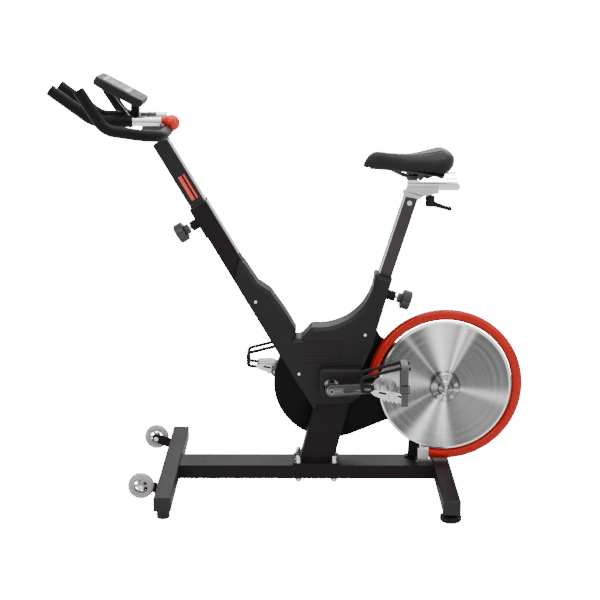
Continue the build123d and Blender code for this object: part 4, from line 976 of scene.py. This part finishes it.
MAST_BACK = -0.0257
shape = bmesh.new()
slanted_plate(shape, 0.2285, 0.408, MAST_BACK - 0.0014, MAST_BACK + 0.0002, -0.021, 0.021)
rounded("mast_back_strip", shape, "frame", strip_brushed, 0.0004)


def tick_shape(recipe):
    return recipe.add("GeometryNodeMeshCube", {"Size": (1.0, 1.0, 1.0)}).outputs[0]


scale_tick = Recipe("scale_tick", tick_shape)
tick_ink = moulded("tick_ink", (0.02, 0.02, 0.02), 0.5)
post_back = -0.0231
rows = [[mast_place(0.03, post_back, y), mast_place(0.205, post_back, y)] for y in (-0.0125,)]
scale_tick.lay("height_ticks", rows, "handlebar", "post_anodised", tick_ink, smooth=False,
               spacing=0.005, length=0.0007, width=0.008, height=0.0004, unevenness=0.0)

stripe_red = moulded("stripe_red", (0.50, 0.030, 0.014), 0.38, 900.0, 0.00002)
shape = bmesh.new()
for edge in (-1, 1):
    y0, y1 = sorted((edge * 0.0299, edge * 0.03008))
    for down0, down1, forward0, forward1 in ((0.128, 0.206, -0.002, 0.008), (0.128, 0.206, -0.013, -0.008)):
        slanted_plate(shape, down0, down1, forward0, forward1, y0, y1)
rounded("post_side_bands", shape, "handlebar", stripe_red, 0.00002)

shape = bmesh.new()
prism_corners = [mast_place(down, forward) for down, forward in
                 ((0.2235, 0.0262), (0.2235, -0.0262), (0.2275, -0.0268), (0.2275, 0.0268))]
prism(shape, [(corner.x, corner.z) for corner in prism_corners], -0.0335, -0.0302)
prism(shape, [(corner.x, corner.z) for corner in prism_corners], 0.0302, 0.0335)
rounded("mast_collar_lips", shape, "frame", cap_plastic, 0.0006)


# ---------------------------------------------------------------------------------------------
# Handlebars: a wide steel bar dipped in soft black, and two aero bars of polished aluminium with
# dipped grips. Rubber plugs close the four tips, and a cast head clamps them to the post.
# ---------------------------------------------------------------------------------------------
soft_grip = rubber("soft_grip", (0.0025, 0.0018, 0.0021), 0.5, 500.0).material
dress("outer_bar", soft_grip)
dress("inner_bar_grips", soft_grip)
eased("stem_head", 0.002, cast("head_cast", (0.10, 0.095, 0.105), 0.34), segments=3, angle=30)


def tube_along(shape, points, radius, sides=28):
    """A round tube that follows a line of points."""
    points = [Vector(point) for point in points]
    rings = []
    side_axis = Vector((0, 1, 0))
    for index, point in enumerate(points):
        before, after = points[max(index - 1, 0)], points[min(index + 1, len(points) - 1)]
        along = (after - before).normalized()
        across = along.cross(side_axis).normalized()
        other = across.cross(along)
        rings.append([shape.verts.new(point + (across * math.cos(t) + other * math.sin(t)) * radius)
                      for t in (2 * math.pi * k / sides for k in range(sides))])
    for one, two in zip(rings, rings[1:]):
        for k in range(sides):
            after = (k + 1) % sides
            shape.faces.new((one[k], one[after], two[after], two[k]))
    shape.faces.new(rings[0][::-1])
    shape.faces.new(rings[-1])


INNER_BAR_Y, INNER_BAR_Z, INNER_BAR_RADIUS = 0.077, 1.106, 0.013
polished = plated("polished_bar", (0.90, 0.90, 0.90), 0.2, 0.08)
for side, y in (("left", -INNER_BAR_Y), ("right", INNER_BAR_Y)):
    shape = bmesh.new()
    tube_along(shape, [(x, y, INNER_BAR_Z) for x in (-0.462, -0.42, -0.366)], INNER_BAR_RADIUS)
    piece = rounded(side + "_bar_polished", shape, "handlebar", polished, 0.0012, segments=3)
    if side == "left":
        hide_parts("inner_bars")

plug_rubber = rubber("plug_rubber", (0.012, 0.011, 0.012), 0.5).material
shape = bmesh.new()
for tip, inward, radius in (((-0.575, 0.205, 1.203), (-0.508, 0.205, 1.096), 0.0163),
                            ((-0.676, 0.077, 1.194), (-0.556, 0.077, 1.106), 0.0163)):
    for sign in (-1, 1):
        end = Vector((tip[0], sign * tip[1], tip[2]))
        back = (Vector((inward[0], sign * inward[1], inward[2])) - end).normalized()
        barrel(shape, end - back * 0.0012, end + back * 0.004, radius - 0.0016, radius)
rounded("bar_end_plugs", shape, "handlebar", plug_rubber, 0.001, segments=3)


def ridge_shape(recipe):
    ring = recipe.add("GeometryNodeMeshCylinder", {"Vertices": 36, "Radius": 0.5, "Depth": 1.0})
    turned_ring = recipe.add("GeometryNodeTransform", {"Geometry": ring.outputs[0],
                                                       "Rotation": (0, math.radians(90), 0)})
    return turned_ring.outputs[0]


grip_ridge = Recipe("grip_ridge", ridge_shape)
rows = []
for y in (-INNER_BAR_Y, INNER_BAR_Y):
    rows.append([(-0.5, y, INNER_BAR_Z), (-0.448, y, INNER_BAR_Z)])
grip_ridge.lay("grip_end_ridges", rows, "handlebar", "grip_rubber", soft_grip, spacing=0.0065,
               length=0.0022, width=0.0334, height=0.0334, unevenness=0.0)


# ---------------------------------------------------------------------------------------------
# Console: a moulded shell on a bracket clipped to the aero bars, with a smoked window over a grey
# liquid-crystal panel and one rubber key.
# ---------------------------------------------------------------------------------------------
console_plastic = moulded("console_plastic", (0.0125, 0.0108, 0.0115), 0.46, specular_ior_level=0.1)
eased("console_body", 0.006, console_plastic, segments=4, angle=30)
eased("console_mount", 0.0012, nylon_black)
dress("console_button", rubber("button_rubber", (0.16, 0.16, 0.165), 0.5).material)
window_glass = Finish("display_window", (0.008, 0.009, 0.009), 0.24, specular_ior_level=0.12)
smear = window_glass.noise(30.0, 3.0)
window_glass.feed("Roughness", smear * 0.12 + 0.05)
dress("console_display", window_glass.material)

CONSOLE = Vector((-0.488, 0, 1.187))
CONSOLE_TILT = 28.0
CONSOLE_TOP = 0.0125
console_turn = Matrix.Translation(CONSOLE) @ Matrix.Rotation(math.radians(CONSOLE_TILT), 4, "Y")
panel_grey = Finish("panel_grey", (0.030, 0.033, 0.031), 0.4, specular_ior_level=0.06)
panel_grey.feed("Roughness", panel_grey.noise(80.0, 2.0) * 0.1 + 0.2)
shape = bmesh.new()


def flat_tile(shape, x0, x1, y0, y1, z0, z1):
    prism(shape, [(x0, z0), (x0, z1), (x1, z1), (x1, z0)], y0, y1)


flat_tile(shape, -0.048, 0.016, -0.052, 0.052, CONSOLE_TOP - 0.0004, CONSOLE_TOP + 0.0001)
shape.transform(console_turn)
rounded("console_panel", shape, "handlebar", panel_grey.material, 0.0001)
shape = bmesh.new()
for row, (x0, x1) in enumerate(((-0.044, -0.034), (-0.027, -0.009), (-0.003, 0.010))):
    for column in range(4):
        y = -0.040 + 0.0267 * column
        for y0, y1, xa, xb in ((y - 0.006, y + 0.006, x0, x0 + 0.0012),
                               (y - 0.006, y + 0.006, x1 - 0.0012, x1),
                               (y - 0.006, y - 0.0048, x0, x1), (y + 0.0048, y + 0.006, x0, x1)):
            flat_tile(shape, xa, xb, y0, y1, CONSOLE_TOP - 0.0002, CONSOLE_TOP + 0.0003)
shape.transform(console_turn)
rounded("console_segments", shape, "handlebar", tick_ink, 0.00005)
shape = bmesh.new()
for x0, x1, y0, y1 in ((-0.0595, -0.0555, -0.066, 0.066), (0.0275, 0.0315, -0.066, 0.066),
                       (-0.0595, 0.0315, -0.066, -0.0615), (-0.0595, 0.0315, 0.0615, 0.066)):
    flat_tile(shape, x0, x1, y0, y1, CONSOLE_TOP - 0.001, CONSOLE_TOP + 0.0011)
shape.transform(console_turn)
rounded("console_bezel", shape, "handlebar", console_plastic, 0.0005)


# ---------------------------------------------------------------------------------------------
# Resistance lever: gloss red moulding, a flat arm that swells into a round ball grip, turning on a
# pin between the head's cheeks.
# ---------------------------------------------------------------------------------------------
lever_red = Finish("lever_red", (0.52, 0.016, 0.008), 0.3, coat_weight=0.2, coat_roughness=0.1,
                   specular_ior_level=0.2)
swirl = lever_red.noise(55.0, 3.0)
lever_red.feed("Base Color", lever_red.blend(swirl, (0.46, 0.012, 0.006), (0.58, 0.022, 0.010)))
lever_red.feed("Roughness", swirl * 0.12 + 0.16)
LEVER_PIVOT = Vector(joints["shift_lever_turn"]["pos_m"])
LEVER_BALL = Vector((-0.345, 0, 1.0945))
BALL_RADIUS = 0.0235
shape = bmesh.new()
barrel(shape, LEVER_PIVOT + Vector((0, -0.008, 0)), LEVER_PIVOT + Vector((0, 0.008, 0)), 0.012)
reach = LEVER_BALL - LEVER_PIVOT
for step in range(14):
    share = step / 13
    centre = LEVER_PIVOT + reach * share * 0.86
    ease = 0.0075 + 0.006 * share * share
    bmesh.ops.create_uvsphere(shape, u_segments=20, v_segments=12, radius=ease,
                              matrix=Matrix.Translation(centre))
bmesh.ops.create_uvsphere(shape, u_segments=64, v_segments=40, radius=BALL_RADIUS,
                          matrix=Matrix.Translation(LEVER_BALL))
mesh = finished_mesh("shift_lever_red", shape, 60)
piece = add_piece("shift_lever_red", mesh, "shift_lever", lever_red.material)
skin = piece.modifiers.new("one_skin", "REMESH")
skin.mode = "VOXEL"
skin.voxel_size = 0.0009
skin.use_smooth_shade = True
soften = piece.modifiers.new("soften", "SMOOTH")
soften.iterations = 6
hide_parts("shift_lever")


# ---------------------------------------------------------------------------------------------
# Seat post, head and slide: dark anodised post with a painted highlight, a bright strip, down its near front
# corner, a cast head bolted through it, and a bright extruded slide bar. Its two dark strips hang clear above
# the rear of the bar, by about 27 mm and 8 mm: a known fault, because they are placed from the top of its front
# block.
# ---------------------------------------------------------------------------------------------
seat_post_finish = Finish("seat_post_anodised", (0.075, 0.066, 0.069), 0.34, 0.5, specular_ior_level=0.35)
lines = seat_post_finish.noise(1500.0, 2.0, seat_post_finish.moved(scale=(1.0, 1.0, 0.05)))
haze = seat_post_finish.noise(14.0, 3.0)
seat_post_finish.feed("Roughness", lines * 0.12 + haze * 0.1 + 0.27)
seat_post_tint = seat_post_finish.blend(lines * haze, (0.029, 0.023, 0.025), (0.054, 0.045, 0.048))
seat_post_finish.feed("Base Color", seat_post_tint)
seat_post_finish.bump(lines, 0.00003, 0.35)
eased("seat_post", 0.0012, seat_post_finish.material)
bright_slide = brushed("bright_slide", (0.88, 0.88, 0.885), 0.24, (0.04, 1.0, 1.0))
eased("slide_bar", 0.0012, bright_slide)
eased("seat_head", 0.0022, cast("seat_head_cast", (0.62, 0.61, 0.615), 0.30), segments=3, angle=30)
clamp_black = moulded("clamp_gloss_black", (0.010, 0.009, 0.010), 0.22, specular_ior_level=0.5)
eased("saddle_clamp", 0.001, clamp_black)
dress("saddle_rails", crank_steel)
dress("seat_post_bolt", zinc_plate)
eased("seat_lock_lever", 0.001, nylon_black)

slide_low, slide_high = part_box("slide_bar")
shape = bmesh.new()
flat_tile(shape, slide_low.x + 0.056, slide_high.x - 0.010, slide_low.y + 0.0012, slide_high.y - 0.0012,
          slide_high.z - 0.0003, slide_high.z + 0.0005)
rounded("slide_top_strip", shape, "saddle_slide", nylon_black, 0.0002)
shape = bmesh.new()
groove_z = slide_low.z * 0.36 + slide_high.z * 0.64
for y0, y1 in ((slide_low.y - 0.0003, slide_low.y + 0.0008), (slide_high.y - 0.0008, slide_high.y + 0.0003)):
    flat_tile(shape, slide_low.x + 0.052, slide_high.x - 0.006, y0, y1, groove_z - 0.0012, groove_z + 0.0012)
rounded("slide_groove_shadow", shape, "saddle_slide", nylon_black, 0.0001)

# Painted highlight: a thin bright metal strip down the post's near front corner stands for light catching that
# edge.
corner_highlight_metal = plated("corner_highlight_metal", (0.80, 0.79, 0.80), 0.3)
shape = bmesh.new()
corners = [seat_place(up_by, back) for up_by, back in
           ((0.004, -0.0202), (0.250, -0.0202), (0.250, -0.0166), (0.004, -0.0166))]
prism(shape, [(corner.x, corner.z) for corner in corners], -0.0202, -0.0192)
rounded("post_corner_highlight", shape, "seat_post", corner_highlight_metal, 0.0003)

lever_low, lever_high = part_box("seat_lock_lever")
lever_y = (lever_low.y + lever_high.y) / 2
shape = bmesh.new()
barrel(shape, (lever_low.x + 0.020, lever_y, 0.861), (lever_high.x - 0.006, lever_y, lever_low.z + 0.005),
       0.0085, 0.0048, sides=24)
rounded("lock_lever_arm", shape, "seat_lock_lever", nylon_black, 0.0015, segments=3)


# ---------------------------------------------------------------------------------------------
# Saddle: a polypropylene shell with a padded top of foam under one stretched vinyl cover. The pad
# is lofted rib by rib, then pressed in along its seams and pulled tight at the creases.
# ---------------------------------------------------------------------------------------------
SADDLE_SHAPE = ((0.205, 0.015, 0.979, 0.967), (0.221, 0.022, 1.0005, 0.966),
                (0.240, 0.027, 1.0115, 0.966), (0.290, 0.033, 1.0085, 0.962),
                (0.334, 0.046, 1.0062, 0.958), (0.370, 0.068, 1.0110, 0.955),
                (0.405, 0.087, 1.0185, 0.952), (0.432, 0.0905, 1.0222, 0.950),
                (0.467, 0.080, 1.0125, 0.972))
SADDLE_NOSE, SADDLE_TAIL = 0.2055, 0.467
NOSE_ROUND, TAIL_ROUND = 0.010, 0.036


def saddle_at(x, column):
    """One measure of the saddle's outline at x, on a smooth curve through the stations."""
    xs = [row[0] for row in SADDLE_SHAPE]
    values = [row[column] for row in SADDLE_SHAPE]
    place = max(index for index in range(len(xs) - 1) if x >= xs[index] or index == 0)
    share = min(1.0, max(0.0, (x - xs[place]) / (xs[place + 1] - xs[place])))
    slopes = []
    for index in (place, place + 1):
        before, after = max(index - 1, 0), min(index + 1, len(xs) - 1)
        slopes.append((values[after] - values[before]) / (xs[after] - xs[before]))
    span = xs[place + 1] - xs[place]
    s2, s3 = share * share, share ** 3
    return ((2 * s3 - 3 * s2 + 1) * values[place] + (s3 - 2 * s2 + share) * span * slopes[0]
            + (3 * s2 - 2 * s3) * values[place + 1] + (s3 - s2) * span * slopes[1])


def end_rounding(x):
    """How much of the full section is left near the nose and the tail."""
    nose = min(1.0, max(0.0, (x - SADDLE_NOSE) / NOSE_ROUND))
    tail = min(1.0, max(0.0, (SADDLE_TAIL - x) / TAIL_ROUND))
    return math.sqrt(1 - (1 - nose) ** 2) * math.sqrt(1 - (1 - tail) ** 2.4)


def bell(value, middle, width):
    return math.exp(-((value - middle) / width) ** 2)


def saddle_ring(x, count):
    """The section at x, as offsets (y, z): a low belly, the widest line, then the domed top."""
    full = end_rounding(x)
    half = saddle_at(x, 1) * max(full, 0.02)
    top, low = saddle_at(x, 2), saddle_at(x, 3)
    widest = low + (top - low) * 0.40
    top = widest + (top - widest) * (0.25 + 0.75 * full)
    low = widest - (widest - low) * (0.35 + 0.65 * full)
    points = []
    for step in range(count):
        turn = 2 * math.pi * step / count
        across, rise = math.cos(turn), math.sin(turn)
        if rise >= 0:
            y = half * math.copysign(abs(across) ** 0.82, across)
            z = widest + (top - widest) * rise ** 0.86
        else:
            y = half * math.copysign(abs(across) ** 0.62, across)
            z = widest + (widest - low) * -abs(rise) ** 0.72
        points.append([y, z, rise, half])
    return points


RINGS, AROUND = 110, 112
shape = bmesh.new()
loops = []
for index in range(RINGS + 1):
    share = index / RINGS
    x = SADDLE_NOSE + (SADDLE_TAIL - SADDLE_NOSE) * (0.5 - 0.5 * math.cos(math.pi * share)) * 0.6
    x += (SADDLE_TAIL - SADDLE_NOSE) * share * 0.4
    ring = []
    for y, z, rise, half in saddle_ring(x, AROUND):
        if rise > 0:
            lobes = bell(x, 0.425, 0.035)
            channel = bell(y, 0.0, 0.010) * min(1.0, max(0.0, (x - 0.245) / 0.03))
            z -= 0.0026 * channel * rise * min(1.0, max(0.0, (0.452 - x) / 0.02))
            z += 0.0012 * lobes * bell(abs(y), 0.045, 0.022) * rise
            seam_y = 0.56 * saddle_at(x, 1)
            crease = bell(abs(y), seam_y, 0.0022) * min(1.0, max(0.0, (x - 0.228) / 0.02))
            z -= 0.0022 * crease * min(1.0, max(0.0, (0.438 - x) / 0.012)) * rise
            z -= 0.0018 * bell(x, 0.440, 0.0022) * rise * (1.0 if abs(y) < half * 0.9 else 0.5)
        skirt = bell(z, saddle_at(x, 3) + (saddle_at(x, 2) - saddle_at(x, 3)) * 0.30, 0.0014)
        y -= math.copysign(0.0011, y) * skirt * min(1.0, half / 0.02)
        pull = 0.00028 * math.sin(x * 620.0) * bell(rise, 0.25, 0.25)
        y += math.copysign(pull, y) if half > 0.01 else 0.0
        ring.append(shape.verts.new((x, y, z)))
    loops.append(ring)
for one, two in zip(loops, loops[1:]):
    for k in range(AROUND):
        after = (k + 1) % AROUND
        shape.faces.new((one[k], one[after], two[after], two[k]))
for ring in (loops[0], loops[-1]):
    middle = shape.verts.new(sum((vertex.co for vertex in ring), Vector()) / len(ring))
    for k in range(AROUND):
        shape.faces.new((ring[k], ring[(k + 1) % AROUND], middle))

vinyl = Finish("saddle_vinyl", (0.020, 0.018, 0.019), 0.4, specular_ior_level=0.11)
pores = vinyl.noise(1500.0, 3.0, roughness=0.7)
leather = vinyl.noise(520.0, 2.0)
rubbed = vinyl.noise(16.0, 3.0)
vinyl.feed("Base Color", vinyl.blend(rubbed * 0.6, (0.010, 0.0088, 0.0094), (0.020, 0.018, 0.019)))
vinyl.feed("Roughness", rubbed * 0.16 + pores * 0.1 + 0.30)
vinyl.bump(pores * 0.6 + leather * 0.4, 0.00016, 0.5)
saddle_cover = add_piece("saddle_cover", finished_mesh("saddle_cover", shape, 70), "saddle_slide",
                         vinyl.material)
finer = saddle_cover.modifiers.new("finer", "SUBSURF")
finer.levels = finer.render_levels = 1
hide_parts("saddle_pad")

shape = bmesh.new()
loops = []
for index in range(61):
    x = 0.226 + (0.434 - 0.226) * index / 60
    half = max(0.006, saddle_at(x, 1) * end_rounding(x + 0.012) - 0.008)
    low = saddle_at(x, 3)
    ring = []
    for step in range(56):
        turn = 2 * math.pi * step / 56
        y = half * math.copysign(abs(math.cos(turn)) ** 0.6, math.cos(turn))
        z = low + 0.0055 * math.copysign(abs(math.sin(turn)) ** 0.7, math.sin(turn)) + 0.001
        ring.append(shape.verts.new((x, y, z)))
    loops.append(ring)
for one, two in zip(loops, loops[1:]):
    for k in range(56):
        after = (k + 1) % 56
        shape.faces.new((one[k], one[after], two[after], two[k]))
shape.faces.new(loops[0])
shape.faces.new(loops[-1])
shell_plastic = moulded("saddle_shell_plastic", (0.012, 0.011, 0.012), 0.4, specular_ior_level=0.35)
piece = add_piece("saddle_shell", finished_mesh("saddle_shell", shape, 40), "saddle_slide",
                  shell_plastic)
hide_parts("saddle_base")


def stitch_shape(recipe):
    thread = recipe.add("GeometryNodeMeshUVSphere", {"Segments": 10, "Rings": 6, "Radius": 0.5})
    return thread.outputs[0]


stitch = Recipe("stitch", stitch_shape)
thread_black = webbing.material
rows = []
for sign in (-1, 1):
    row = []
    for index in range(60):
        x = 0.236 + (0.440 - 0.236) * index / 59
        y = 0.56 * saddle_at(x, 1)
        rise = max(0.0, 1 - (y / max(saddle_at(x, 1), 0.001)) ** 2.4) ** 0.42
        widest = saddle_at(x, 3) + (saddle_at(x, 2) - saddle_at(x, 3)) * 0.40
        z = widest + (saddle_at(x, 2) - widest) * rise ** 0.86 - 0.0007
        row.append((x, sign * (y + 0.0045), z))
    rows.append(row)
stitch.lay("saddle_stitches", rows, "saddle_slide", "saddle_vinyl", thread_black,
           spacing=0.0042, length=0.0030, width=0.0008, height=0.0007, unevenness=0.0)
